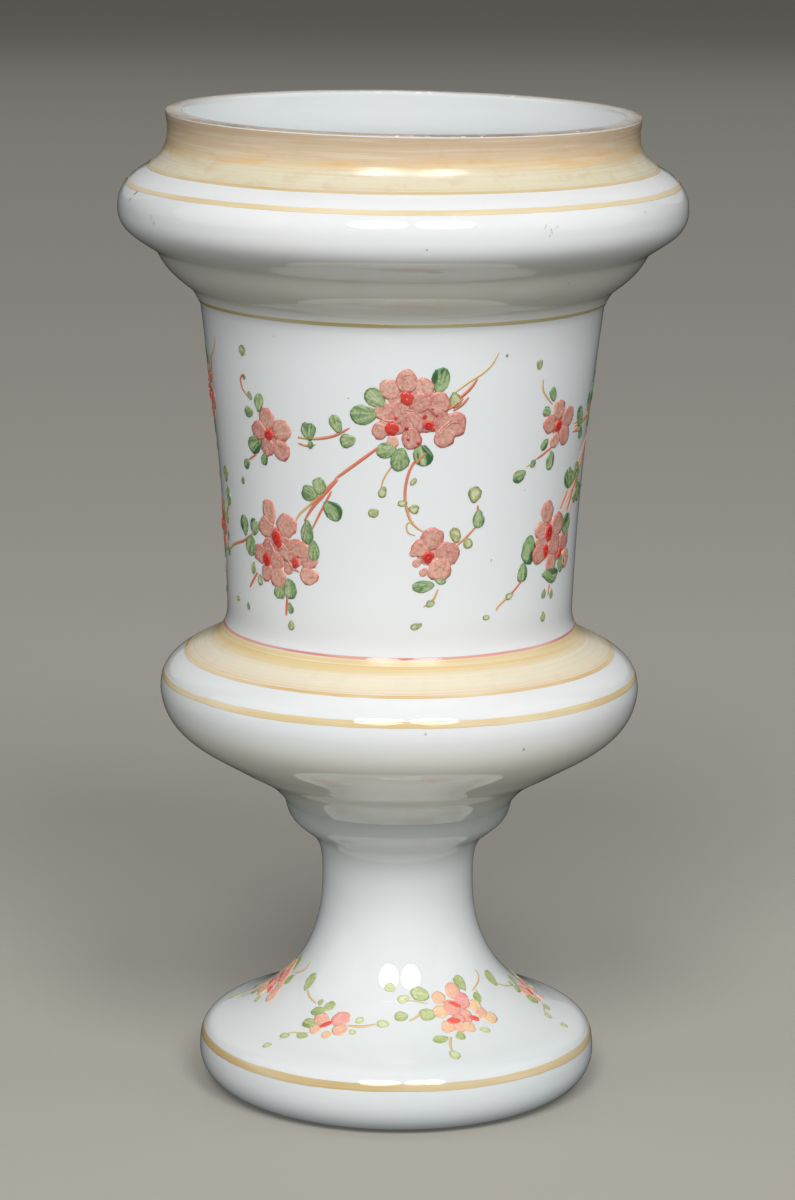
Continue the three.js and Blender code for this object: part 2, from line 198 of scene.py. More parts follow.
class Wire:  # a socket that can be used in sums
    def __init__(self, finish, socket):
        self.finish = finish
        self.socket = socket

    def maths(self, operation, *values):
        inputs = dict(enumerate(values))
        return self.finish.node("ShaderNodeMath", {"operation": operation}, inputs)

    def __add__(self, other):
        return self.maths("ADD", self, other)

    def __radd__(self, other):
        return self.maths("ADD", other, self)

    def __sub__(self, other):
        return self.maths("SUBTRACT", self, other)

    def __rsub__(self, other):
        return self.maths("SUBTRACT", other, self)

    def __mul__(self, other):
        return self.maths("MULTIPLY", self, other)

    def __rmul__(self, other):
        return self.maths("MULTIPLY", other, self)

    def __truediv__(self, other):
        return self.maths("DIVIDE", self, other)

    def __rtruediv__(self, other):
        return self.maths("DIVIDE", other, self)

    def size(self):  # without its sign
        return self.maths("ABSOLUTE", self)

    def ramp(self, low, high):  # 0 at low and 1 at high, smooth between, and either may be larger
        settings = {"interpolation_type": "SMOOTHSTEP"}
        inputs = {"Value": self, "From Min": low, "From Max": high, "To Min": 0.0, "To Max": 1.0}
        return self.finish.node("ShaderNodeMapRange", settings, inputs)


class Finish:  # one material and the nodes that feed its shader
    def __init__(self, name, **constants):
        self.material = bpy.data.materials.new(name)
        self.material.use_nodes = True
        self.tree = self.material.node_tree
        self.shader = next(n for n in self.tree.nodes if n.type == "BSDF_PRINCIPLED")
        for socket, value in constants.items():
            self.shader.inputs[socket.replace("_", " ")].default_value = value

    def node(self, kind, settings=None, inputs=None, out=0):
        made = self.tree.nodes.new(kind)
        for name, value in (settings or {}).items():
            if name == "stops":
                self.setStops(made.color_ramp, value)
            else:
                setattr(made, name, value)
        for key, value in (inputs or {}).items():
            self.feed(made.inputs[key], value)
        return Wire(self, made.outputs[out])

    def setStops(self, ramp, stops):
        while len(ramp.elements) < len(stops):
            ramp.elements.new(0.5)
        for element, (place, colour) in zip(ramp.elements, stops):
            element.position = place
            element.color = colour

    def feed(self, socket, value):
        if isinstance(value, Wire):
            self.tree.links.new(value.socket, socket)
        else:
            socket.default_value = value

    def give(self, **inputs):
        for name, value in inputs.items():
            self.feed(self.shader.inputs[name.replace("_", " ")], value)

    def mix(self, share, a, b):
        settings = {"data_type": "RGBA", "clamp_factor": True}
        return self.node("ShaderNodeMix", settings, {0: share, 6: a, 7: b}, out=2)

    def tint(self, share, body, colour):  # mixes in a colour given 0 to 255
        return self.mix(share, body, rgb(*colour))

    def carried(self, name):  # a value that the mesh carries
        return self.node("ShaderNodeAttribute", {"attribute_name": name}, out="Fac")

    def place(self, scale=(1, 1, 1)):  # object coordinates, stretched
        here = self.node("ShaderNodeTexCoord", out="Object")
        return self.node("ShaderNodeMapping", {}, {"Vector": here, "Scale": scale})

    def height(self):  # above the table, in mm
        here = self.node("ShaderNodeTexCoord", out="Object")
        return self.node("ShaderNodeSeparateXYZ", {}, {0: here}, out="Z") / mm

    def belt(self, rise, fall):  # 1 round the vase between two heights, with soft edges
        return self.height().ramp(*rise) * self.height().ramp(*fall)

    def noise(self, vector, scale, detail=2.0, roughness=0.5):
        inputs = {"Vector": vector, "Scale": scale, "Detail": detail, "Roughness": roughness}
        return self.node("ShaderNodeTexNoise", {}, inputs)

    def bump(self, height, distance):
        inputs = {"Height": height, "Distance": distance, "Strength": 1.0}
        return self.node("ShaderNodeBump", {}, inputs)


# Opaline glass. The rim is ground flat, and handling has stained it.
opaline = {
    "milk": (232, 232, 232),
    "cooler": (221, 228, 228),
    "ground": (184, 168, 150),
    "groundDark": (138, 120, 102),
    "chip": (236, 232, 226),
    # painted light: the drum's glass is made lighter and greener than the rest
    "drum": (236, 239, 239),
    # painted shade: the hollow under the collar is darkened and warmed in the glass's colour
    "recessShade": (188, 184, 148),
    # painted shade: under the bulge the glass is warmed toward an olive shade
    "under": (236, 227, 190),
    # painted shade: the ring's hollow is darkened in the glass's colour
    "ring": (176, 184, 172),
    # painted shade: the inside wall is darkened
    "inside": (224, 229, 230),
}
belts = {  # heights over which a tint comes in, and over which it goes
    # painted light on the drum
    "drum": ((136, 150), (236, 212)),
    # painted shade
    "recessShade": ((225, 231), (252, 238)),  # under the collar
    # painted shade
    "under": ((82, 90), (118, 104)),  # under the bulge
    # painted shade in the ring's hollow
    "ring": ((62, 78), (96, 84)),
}
coolShadeBelow = (100, 76)  # mm, over which the glass is painted a cooler shade towards the foot


def opalineFinish():
    f = Finish(
        "opalineGlass", IOR=1.68, Subsurface_Weight=0.2, Subsurface_Scale=0.0012,
        Subsurface_Radius=(1.0, 0.9, 0.8),
    )
    cloud = f.noise(f.place(), 16.0, 3.0)
    # the cloud gives the glass its own uneven tone; the height ramp paints a cooler shade low down
    cool = cloud.ramp(0.35, 0.7) * 0.4 + f.height().ramp(*coolShadeBelow) * 0.3
    body = f.tint(cool, rgb(*opaline["milk"]), opaline["cooler"])
    grit = f.noise(f.place(), 420.0, 4.0, 0.65)
    stain = f.noise(f.place(), 60.0, 3.0)
    worn = f.tint(stain.ramp(0.42, 0.66) * 0.8, rgb(*opaline["ground"]), opaline["groundDark"])
    worn = f.tint(grit.ramp(0.56, 0.68) * 0.7, worn, opaline["chip"])
    edge = (f.carried("ground") + (grit - 0.5) * 0.5).ramp(0.3, 0.6)
    body = f.mix(edge, body, worn)
    # painted shade, patchy, in the hollow under the collar and under the bulge
    patchyShade = 0.3 + stain * 0.3
    # The drum's belt is painted light; the belts under the collar, under the bulge and in the ring's
    # hollow are painted shade
    for name, share in {"drum": 0.75, "recessShade": patchyShade, "under": patchyShade, "ring": 0.5}.items():
        body = f.tint(f.belt(*belts[name]) * share, body, opaline[name])
    # painted shade on the inside wall
    body = f.tint(f.carried("inside") * 0.5, body, opaline["inside"])
    smear = f.noise(f.place((1, 1, 0.6)), 26.0, 4.0, 0.6)
    ripple = f.noise(f.place((1, 1, 0.5)), 34.0, 1.0)
    f.give(
        Base_Color=body,
        Roughness=0.015 + smear.ramp(0.5, 0.85) * 0.03 + edge * 0.4,
        Normal=f.bump(ripple + edge * grit * 0.4, 0.00006),
    )
    return f.material


# Enamel: bands and lines turned on with a broad brush
enamel = {
    "neckTop": (196, 172, 144),
    "neckRose": (213, 190, 160),
    "neckWarm": (219, 197, 156),
    "neckLow": (217, 208, 181),
    "shoulderWarm": (225, 202, 150),
    "shoulderPale": (230, 220, 195),
    "streak": (232, 225, 208),
    "brown": (190, 156, 122),
    "orange": (224, 184, 130),
    "ochre": (204, 176, 124),
    "ochrePale": (220, 204, 168),
    "straw": (216, 192, 142),
    "strawPale": (232, 218, 186),
    "olive": (182, 168, 116),
    "olivePale": (200, 190, 156),
    "edge": (214, 180, 128),
    "edgePale": (236, 218, 182),
    "pink": (204, 120, 124),
    "pinkPale": (234, 190, 170),
}
warmEdge = {"above": 0.6, "reach": 1.6}  # a band's lower edge is warmer, in mm


def streaks(f, along, across, detail=3.0):  # brush streaks round the axis
    return f.noise(f.place((along, along, across)), 1.0, detail, 0.6)


def bandFinish(name, stops, warm, streak):  # stops are heights in mm, each with its colour
    f = Finish(name, IOR=1.5)
    foot, top = stops[0][0], stops[-1][0]
    spread = (f.height() - foot) / (top - foot)
    places = [((z - foot) / (top - foot), rgb(*enamel[key])) for z, key in stops]
    broad = streaks(f, streak["along"] * 0.6, streak["across"] * 0.25)
    fine = streaks(f, streak["along"], streak["across"])
    hair = streaks(f, streak["along"] * 0.3, streak["across"] * 1.7, 2.0)
    patch = streaks(f, streak["patch"], 240, 4.0)
    cloud = f.noise(f.place((1, 1, 1.8)), 170.0, 4.0, 0.6)
    shade = f.node("ShaderNodeValToRGB", {"stops": places}, {0: spread + (broad - 0.5) * streak["sway"]})
    near = 1 - (f.height() - warm["at"]).size().ramp(0.0, warm["reach"])
    low = 1 - (f.height() - foot - warmEdge["above"]).size().ramp(0.0, warmEdge["reach"])
    warmth = patch.ramp(0.48, 0.66) * near * warm["share"] + fine.ramp(0.4, 0.6) * low * warm["edge"]
    body = f.tint(warmth, shade, enamel["orange"])
    body = f.tint(fine.ramp(0.46, 0.66) * streak["pale"], body, enamel["streak"])
    body = f.tint(hair.ramp(0.5, 0.3) * streak["dark"], body, enamel["brown"])
    body = f.tint(cloud.ramp(0.5, 0.7) * streak["cloud"], body, enamel["brown"])
    f.give(
        Base_Color=body,
        Roughness=0.13 + fine * 0.08,
        Normal=f.bump(fine + broad, 0.00005),
    )
    return f.material


def lineFinish(name, full, pale):
    f = Finish(name, IOR=1.5)
    load = f.noise(f.place(), 22.0, 3.0)  # how much enamel the brush still held
    fine = streaks(f, 40, 1900, 2.0)
    share = load.ramp(0.36, 0.62) * 0.6 + fine.ramp(0.45, 0.66) * 0.25
    f.give(
        Base_Color=f.tint(share, rgb(*enamel[full]), enamel[pale]),
        Roughness=0.02 + fine * 0.05,
        Normal=f.bump(fine, 0.00003),
    )
    return f.material


# Enamel: dabs and strokes of the flower sprays. A dab's UV map runs from its root to its tip and
# across it, and each dab has its own tone and seed.
class Dab:  # what every dab's colour is worked out from
    def __init__(self, f, spread):
        here = f.node("ShaderNodeUVMap", {"uv_map": "dab"})
        middle = {0: here, 1: (0.5, 0.5, 0)}
        centred = f.node("ShaderNodeVectorMath", {"operation": "SUBTRACT"}, middle)
        self.out = f.node("ShaderNodeVectorMath", {"operation": "LENGTH"}, {0: centred}, out="Value") * 2
        self.tone = f.carried("tone")
        self.seed = f.carried("seed")
        self.each = f.node("ShaderNodeMath", {"operation": "FRACT"}, {0: self.seed})
        self.along = f.node("ShaderNodeSeparateXYZ", {}, {0: here}, out="X")
        self.across = f.node("ShaderNodeSeparateXYZ", {}, {0: here}, out="Y")
        away = self.along + 0.35  # a little behind the root, where the brush hairs fan out from
        fanned = {0: (self.across - 0.5) / away * spread, 1: away * 0.5, 2: self.seed * 40}
        self.hairs = f.noise(f.node("ShaderNodeCombineXYZ", {}, fanned), 1.0, 2.0, 0.5)
        self.patch = f.noise(f.place(), 330.0, 2.0)
        self.blot = f.noise(f.place(), 760.0, 3.0, 0.7)
        self.grain = f.noise(f.place(), 1300.0, 2.0, 0.6)


def petalFinish(name, colours):
    f = Finish(name, IOR=1.5)
    dab = Dab(f, 8.0)
    body = f.tint(dab.tone + (dab.each - 0.5) * 0.5, rgb(*colours["pale"]), colours["full"])
    thin = dab.out.ramp(0.85, 0.2) * (0.2 + dab.patch.ramp(0.36, 0.6) * 0.4 + dab.each * 0.4)
    body = f.tint(thin * colours["thin"], body, colours["worn"])
    body = f.tint(dab.hairs.ramp(0.5, 0.62) * 0.25, body, colours["hair"])
    body = f.tint(dab.blot.ramp(0.48, 0.34) * 0.6, body, colours["deep"])
    body = f.tint(dab.hairs.ramp(0.44, 0.34) * 0.2, body, colours["deep"])
    body = f.tint(dab.grain.ramp(0.54, 0.7) * 0.5, body, colours["hair"])
    body = f.tint(dab.grain.ramp(0.44, 0.3) * 0.5, body, colours["rim"])
    tip = 0.15 + dab.along.ramp(0.35, 0.8) * 0.85
    rim = dab.out.ramp(0.74, 0.96) * (0.1 + dab.patch.ramp(0.42, 0.56) * 0.75) * tip
    body = f.tint(rim, body, colours["rim"])
    relief = dab.hairs * 0.1 + dab.blot * 0.6 + dab.grain * 0.4
    f.give(
        Base_Color=body,
        Roughness=0.2 + dab.grain * 0.2,
        Normal=f.bump(relief, 0.0003),
    )
    return f.material


def heartFinish(name, colours):
    f = Finish(name, IOR=1.5)
    dab = Dab(f, 5.0)
    body = f.tint(dab.tone, rgb(*colours["pale"]), colours["full"])
    ring = dab.out.ramp(0.12, 0.28) * (1 - dab.out.ramp(0.42, 0.66))
    body = f.tint(ring * (0.15 + dab.patch.ramp(0.4, 0.6) * 0.7), body, colours["ring"])
    # painted highlight: a pale spot at the bead's centre
    body = f.tint((1 - dab.out.ramp(0.06, 0.16)) * dab.each * 0.7, body, colours["dot"])
    body = f.tint(dab.blot.ramp(0.5, 0.36) * 0.7, body, colours["ring"])
    # painted highlight: the bead's edge is made paler
    rim = dab.out.ramp(0.72, 0.98) * dab.patch.ramp(0.4, 0.58)
    body = f.tint(rim * 0.7, body, colours["rim"])
    f.give(
        Base_Color=body,
        Roughness=0.12 + dab.grain * 0.15,
        Normal=f.bump(dab.patch * 0.4 + dab.blot, 0.0003),
    )
    return f.material


def leafFinish(name, colours):
    f = Finish(name, IOR=1.5)
    dab = Dab(f, 9.0)
    body = f.tint(dab.tone.ramp(0.2, 0.6), rgb(*colours["olive"]), colours["pale"])
    body = f.tint(dab.blot.ramp(0.5, 0.62) * 0.6, body, colours["worn"])
    brushed = dab.hairs.ramp(0.48, 0.58) * (0.35 + dab.along.ramp(0.1, 0.6) * 0.65)
    brushed = brushed * (0.4 + dab.tone * 0.4)
    body = f.tint(brushed * 0.8, body, colours["full"])
    body = f.tint(dab.blot.ramp(0.46, 0.36) * (0.3 + dab.tone * 0.5), body, colours["full"])
    scored = dab.hairs.ramp(0.6, 0.68) * dab.patch.ramp(0.46, 0.6) * dab.tone
    body = f.tint(scored * 0.8, body, colours["dark"])
    side = dab.across + (dab.patch - 0.5) * 1.2 + (dab.blot - 0.5) * 0.5 + dab.along * 0.35 - 0.17
    loaded = side.ramp(0.6, 0.8) * dab.tone.ramp(0.4, 0.95)
    body = f.tint(loaded * 0.85, body, colours["dark"])
    body = f.tint(dab.hairs.ramp(0.44, 0.34) * 0.4, body, colours["hair"])
    body = f.tint(dab.grain.ramp(0.46, 0.3) * 0.4, body, colours["full"])
    scrap = dab.tone.ramp(0.6, 0.3)
    dry = scrap * dab.out.ramp(0.8, 0.4) * dab.patch.ramp(0.36, 0.52)
    body = f.tint(dry * 0.8, body, colours["dry"])
    edge = dab.out.ramp(0.74, 0.95) * (0.15 + scrap * 0.2 + dab.patch.ramp(0.42, 0.56) * 0.65)
    rim = f.tint(dab.tone.ramp(0.15, 0.6), rgb(*colours["oliveRim"]), colours["rim"])
    body = f.mix(edge, body, rim)
    relief = dab.hairs * 0.25 + dab.blot * 0.7 + dab.grain * 0.4
    f.give(
        Base_Color=body,
        Roughness=0.2 + dab.grain * 0.2,
        Normal=f.bump(relief, 0.0003),
    )
    return f.material


def strokeFinish(name, red, ochre):  # a stroke's tone runs from red to ochre
    f = Finish(name, IOR=1.5)
    tone = f.carried("tone")
    patch = f.noise(f.place(), 420.0, 2.0)
    share = (tone + (patch - 0.5) * 0.5).ramp(0.15, 0.85)
    f.give(
        Base_Color=f.tint(share, rgb(*red), ochre),
        Roughness=0.27 + patch * 0.1,
        Normal=f.bump(patch, 0.00004),
    )
    return f.material


def stainFinish(name, brown, grey):
    f = Finish(name, IOR=1.5)
    tone = f.carried("tone")
    grit = f.noise(f.place(), 2400.0, 2.0)
    body = f.tint(tone, rgb(*brown), grey)
    body = f.tint(grit.ramp(0.45, 0.65) * 0.6, body, opaline["milk"])
    f.give(Base_Color=body, Roughness=0.3 + grit * 0.3)
    return f.material


drumPetal = {
    "pale": (234, 184, 160),
    "full": (197, 120, 114),
    "worn": (200, 166, 142),
    "hair": (240, 202, 184),
    "deep": (178, 98, 96),
    "rim": (208, 106, 94),
    "thin": 0.8,
}
footPetal = {
    "pale": (238, 206, 158),
    "full": (240, 152, 152),
    "worn": (242, 204, 176),
    "hair": (250, 218, 200),
    "deep": (238, 146, 142),
    "rim": (236, 172, 132),
    "thin": 0.3,
}
heartShade = {
    "pale": (230, 104, 88),
    "full": (210, 62, 52),
    "ring": (180, 34, 38),
    "dot": (244, 170, 150),
    "rim": (232, 118, 100),
}
footHeartShade = {
    "pale": (246, 124, 108),
    "full": (238, 94, 84),
    "ring": (230, 80, 72),
    "dot": (240, 108, 96),
    "rim": (242, 132, 114),
}
leafShade = {
    "pale": (160, 182, 132),
    "olive": (180, 178, 112),
    "worn": (184, 194, 146),
    "full": (84, 118, 72),
    "dark": (44, 92, 62),
    "hair": (204, 218, 182),
    "rim": (70, 120, 70),
    "dry": (222, 222, 184),
    "oliveRim": (120, 128, 56),
}
footLeafShade = {
    "pale": (184, 196, 136),
    "olive": (208, 212, 160),
    "worn": (206, 214, 162),
    "full": (160, 174, 112),
    "dark": (134, 152, 92),
    "hair": (216, 222, 176),
    "rim": (150, 166, 102),
    "dry": (222, 226, 186),
    "oliveRim": (186, 194, 134),
}

finishes = {
    "glass": opalineFinish(),
    "neckBand": bandFinish(
        "neckBandEnamel",
        [
            (263.5, "neckLow"), (267.4, "neckLow"), (269.6, "neckWarm"), (272.4, "neckRose"),
            (278.3, "neckTop"),
        ],
        {"at": 269.8, "reach": 3.6, "share": 0.85, "edge": 0.1},
        {"along": 34, "across": 1300, "pale": 0.24, "dark": 0.18, "patch": 50, "cloud": 0.2, "sway": 0.5},
    ),
    "shoulderBand": bandFinish(
        "shoulderBandEnamel",
        [
            (126.5, "shoulderWarm"), (127.4, "shoulderPale"), (130.0, "shoulderPale"),
            (131.6, "shoulderWarm"), (134.4, "shoulderWarm"),
        ],
        {"at": 132.8, "reach": 2.6, "share": 0.45, "edge": 0.5},
        {"along": 9, "across": 2600, "pale": 0.5, "dark": 0.26, "patch": 18, "cloud": 0.08, "sway": 0.55},
    ),
    "ochreLine": lineFinish("ochreLineEnamel", "ochre", "ochrePale"),
    "strawLine": lineFinish("strawLineEnamel", "straw", "strawPale"),
    "oliveLine": lineFinish("oliveLineEnamel", "olive", "olivePale"),
    "edgeLine": lineFinish("edgeLineEnamel", "edge", "edgePale"),
    "pinkLine": lineFinish("pinkLineEnamel", "pink", "pinkPale"),
    "petal": petalFinish("blossomEnamel", drumPetal),
    "heart": heartFinish("heartEnamel", heartShade),
    "leaf": leafFinish("leafEnamel", leafShade),
    "stroke": strokeFinish("tendrilEnamel", (220, 126, 98), (218, 186, 126)),
    "footPetal": petalFinish("footBlossomEnamel", footPetal),
    "footHeart": heartFinish("footHeartEnamel", footHeartShade),
    "footLeaf": leafFinish("footLeafEnamel", footLeafShade),
    "footStroke": strokeFinish("footTendrilEnamel", (230, 156, 112), (224, 192, 136)),
    "stain": stainFinish("handlingStain", (138, 108, 78), (190, 184, 172)),
}
print("finishes made:", len(finishes))


# Blown glass isn't quite true. Every piece is moved by the same slow swell, so what is laid on the
# wall stays on it. Flatten is a share, and the rest are in mm.
swell = {"reach": 0.11, "length": 46, "bottomFade": 12, "topFade": 6, "flatten": 0.8}
rimSlope = {"from": 262, "top": 278.9, "fall": 1.4, "radius": 65.7}  # ground lower on the right


def swellAt(place):
    spot = place / (swell["length"] * mm)
    spot.z *= swell["flatten"]
    fromTop = max(0.0, rimSlope["top"] * mm - place.z)
    fade = min(1.0, place.z / (swell["bottomFade"] * mm), fromTop / (swell["topFade"] * mm))
    push = noise.noise(spot) * swell["reach"] * mm * fade
    outward = Vector((place.x, place.y, 0))
    shift = outward.normalized() * push if outward.length > 1e-6 else Vector((0, 0, 0))
    share = max(0.0, (place.z / mm - rimSlope["from"]) / (rimSlope["top"] - rimSlope["from"]))
    fall = rimSlope["fall"] * (1 + place.x / mm / rimSlope["radius"]) / 2
    shift.z -= fall * mm * share ** 2 * (3 - 2 * share)
    return shift


def addPiece(name, bm, materials, replaced=(), sharpAbove=40):
    for vert in bm.verts:
        vert.co += swellAt(vert.co)
    mesh = bpy.data.meshes.new(name)
    bm.to_mesh(mesh)
    bm.free()
    for material in materials:
        mesh.materials.append(finishes[material])
    mesh.shade_smooth()
    mesh.set_sharp_from_angle(angle=math.radians(sharpAbove))
    piece = bpy.data.objects.new(name, mesh)
    bpy.context.scene.collection.objects.link(piece)
    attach(piece, "root")
    if replaced:
        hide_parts(*replaced)


def spun(section, turns):  # a closed section turned round the axis
    bm = bmesh.new()
    verts = [bm.verts.new((p.x * mm, 0, p.y * mm)) for p in section]
    edges = [bm.edges.new(pair) for pair in zip(verts, verts[1:])]
    bmesh.ops.spin(
        bm, geom=verts + edges, cent=(0, 0, 0), axis=(0, 0, 1), dvec=(0, 0, 0),
        angle=math.tau, steps=turns, use_merge=True,
    )
    bmesh.ops.remove_doubles(bm, verts=bm.verts, dist=1e-6)
    bmesh.ops.recalc_face_normals(bm, faces=bm.faces)
    return bm


def addGlass():
    hollow = sectionOf(pedestalFoot["hollow"])
    skin = sectionOf(pedestalFoot["skin"])
    foot = spun([*hollow, *skin, Vector((0, pedestalFoot["top"]))], glassTurns)
    addPiece("pedestalFoot", foot, ["glass"], ["pedestal_foot"])
    low, high = Vector((0, wafer["bottom"])), Vector((0, wafer["top"]))
    ring = spun([low, *sectionOf(wafer["skin"]), high], glassTurns)
    # The ring's underside meets its flank at under 40 degrees, and that edge stays crisp.
    addPiece("wafer", ring, ["glass"], ["wafer"], sharpAbove=20)
    skin, hollow = sectionOf(bowl["skin"]), sectionOf(bowl["hollow"])
    body = spun([Vector((0, bowl["bottom"])), *skin, *hollow], glassTurns)
    ground = body.verts.layers.float.new("ground")
    inside = body.verts.layers.float.new("inside")
    for vert in body.verts:
        height = vert.co.z / mm
        outer = bowlWall.radiusAt(height)
        vert[ground] = 1.0 if height > bowl["groundFrom"] else 0.0
        radius = math.hypot(vert.co.x, vert.co.y) / mm
        vert[inside] = 1.0 if radius < outer - bowl["innerFrom"] else 0.0
    addPiece("bowl", body, ["glass"], ["bowl"])
    print("glass spun")


# Coats turned on with a brush: height of the lower and upper edge, thickness, and how much the
# edges wander.
coats = {
    "neckBand": {
        "low": 263.9, "high": 278.3, "thick": 0.06, "wander": 0.05, "wall": bowlWall,
        "finish": "neckBand", "slot": "beige_enamel", "node": "neck_band",
    },
    "neckBandLine": {
        "low": 263.35, "high": 264.0, "thick": 0.08, "wander": 0.1, "wall": bowlWall,
        "finish": "ochreLine", "slot": "ochre_enamel", "node": "neck_band_line",
    },
    "collarLine": {
        "low": 258.75, "high": 259.95, "thick": 0.08, "wander": 0.18, "wall": bowlWall,
        "finish": "strawLine", "slot": "ochre_enamel", "node": "collar_line",
    },
    "drumTopLine": {
        "low": 226.4, "high": 227.4, "thick": 0.1, "wander": 0.12, "wall": bowlWall,
        "finish": "oliveLine", "slot": "ochre_enamel", "node": "drum_top_line",
    },
    "shoulderPinkLine": {
        "low": 134.36, "high": 134.98, "thick": 0.07, "wander": 0.12, "wall": bowlWall,
        "finish": "pinkLine", "slot": "pink_enamel", "node": "shoulder_pink_line",
    },
    "shoulderBand": {
        "low": 126.9, "high": 134.3, "thick": 0.06, "wander": 0.08, "wall": bowlWall,
        "finish": "shoulderBand", "slot": "beige_enamel", "node": "shoulder_band",
    },
    "shoulderBandLine": {
        "low": 126.35, "high": 126.95, "thick": 0.08, "wander": 0.12, "wall": bowlWall,
        "finish": "edgeLine", "slot": "ochre_enamel", "node": "shoulder_band_line",
    },
    "bulgeLine": {
        "low": 119.6, "high": 121.3, "thick": 0.05, "wander": 0.3, "wall": bowlWall,
        "finish": "strawLine", "slot": "ochre_enamel", "node": "bulge_line",
    },
    "footLine": {
        "low": 13.7, "high": 15.8, "thick": 0.05, "wander": 0.28, "wall": footWall,
        "finish": "ochreLine", "slot": "ochre_enamel", "node": "foot_line",
    },
}
coatTurns = 240
coatStep = 0.5  # longest step across a coat, in mm
coatSink = 0.12  # how far a coat's underside is below the glass, in mm
coatEdge = {"share": 0.04, "height": 0.3}  # a coat thins out over this share of its width
drift = {"slow": 1.7, "quick": 9, "quickShare": 0.5, "quickPlace": 3.1}
driftSeed = {"first": 1, "nextCoat": 2.3, "upperEdge": 5}


def wander(vert, seed):  # an edge's slow drift round the axis, about -1 to 1
    turned = Vector((vert.co.x, vert.co.y, 0)).normalized()
    slow = noise.noise(turned * drift["slow"] + Vector((seed, 0, seed)))
    quick = noise.noise(turned * drift["quick"] + Vector((0, seed, drift["quickPlace"])))
    return slow + quick * drift["quickShare"]


def addCoat(name, coat, seed):
    wall = coat["wall"]
    start, end = wall.along(coat["low"]), wall.along(coat["high"])
    count = max(6, math.ceil((end - start) / coatStep))
    shares = [i / count for i in range(count + 1)]
    edge, thin, thick = coatEdge["share"], coat["thick"] * coatEdge["height"], coat["thick"]
    middle = [edge, *shares[1:-1], 1 - edge]
    crest = [(0, thin), *[(s, thick) for s in middle], (1, thin)]
    under = [(s, -coatSink) for s in reversed(shares)]
    section = [wall.spot(start + (end - start) * s, lift) for s, lift in [*crest, *under]]
    bm = spun([*section, section[0]], coatTurns)
    for vert in bm.verts:
        height = vert.co.z / mm
        share = (height - coat["low"]) / (coat["high"] - coat["low"])
        upper = wander(vert, seed + driftSeed["upperEdge"])
        shift = wander(vert, seed) * (1 - share) + upper * share
        radius = math.hypot(vert.co.x, vert.co.y) / mm
        moved = height + shift * coat["wander"]
        newRadius = wall.radiusAt(moved) + radius - wall.radiusAt(height)
        vert.co = Vector((vert.co.x, vert.co.y, 0)).normalized() * newRadius * mm
        vert.co.z = moved * mm
    addPiece(name, bm, [coat["finish"]], [coat["node"]])


def addCoats():
    for order, (name, coat) in enumerate(coats.items()):
        addCoat(name, coat, order * driftSeed["nextCoat"] + driftSeed["first"])
    print("coats laid:", len(coats))


# Forms of the brush. A petal is a round dab with a thick rim, a heart a bead, a leaf a pressed
# oval and a stroke a long bead.
forms = {
    "petal": {"sides": 16, "rings": [(0.22, 1.0), (0.24, 0.75)]},
    "heart": {"sides": 12, "rings": [(0.22, 0.8), (0.3, 1.0), (0.2, 0.85)]},
    "leaf": {"sides": 16, "rings": [(0.14, 1.0), (0.3, 0.75)]},
}
dabStep = 0.2  # height of a dab's steep edge, as a share
strokeRings = 14
strokeSides = 6


def keepForm(name, bm, mapping):  # with its UV map, from each vertex's place
    mapped = bm.loops.layers.uv.new("dab")
    for face in bm.faces:
        for loop in face.loops:
            loop[mapped].uv = mapping(loop.vert.co)
    mesh = bpy.data.meshes.new(name)
    bm.to_mesh(mesh)
    bm.free()
    return mesh


def dabForm(kind):  # a flat dab of radius 1 and height 1
    form = forms[kind]
    bm = bmesh.new()
    bmesh.ops.create_circle(bm, cap_ends=True, segments=form["sides"], radius=1)
    base = bm.faces[:]
    raised = bmesh.ops.extrude_face_region(bm, geom=base)
    top = [g for g in raised["geom"] if isinstance(g, bmesh.types.BMFace)]
    bmesh.ops.translate(bm, verts=top[0].verts, vec=(0, 0, dabStep))
    for inset, height in form["rings"]:
        bmesh.ops.inset_region(bm, faces=top, thickness=inset, use_even_offset=True)
        for vert in top[0].verts:
            vert.co.z = height
    bmesh.ops.poke(bm, faces=top)
    bmesh.ops.recalc_face_normals(bm, faces=bm.faces)
    return keepForm(kind + "Form", bm, lambda co: (0.5 + co.x / 2, 0.5 + co.y / 2))


def strokeForm():  # a tube of radius 1 along Z from 0 to 1
    bm = bmesh.new()
    bmesh.ops.create_cone(bm, cap_ends=True, segments=strokeSides, radius1=1, radius2=1, depth=1)
    bmesh.ops.translate(bm, verts=bm.verts, vec=(0, 0, 0.5))
    long = [e for e in bm.edges if abs(e.verts[0].co.z - e.verts[1].co.z) > 0.5]
    bmesh.ops.subdivide_edges(bm, edges=long, cuts=strokeRings)
    return keepForm("strokeForm", bm, lambda co: (co.z, 0.5 + co.x / 2))


formMeshes = {kind: dabForm(kind) for kind in forms}
formMeshes["stroke"] = strokeForm()

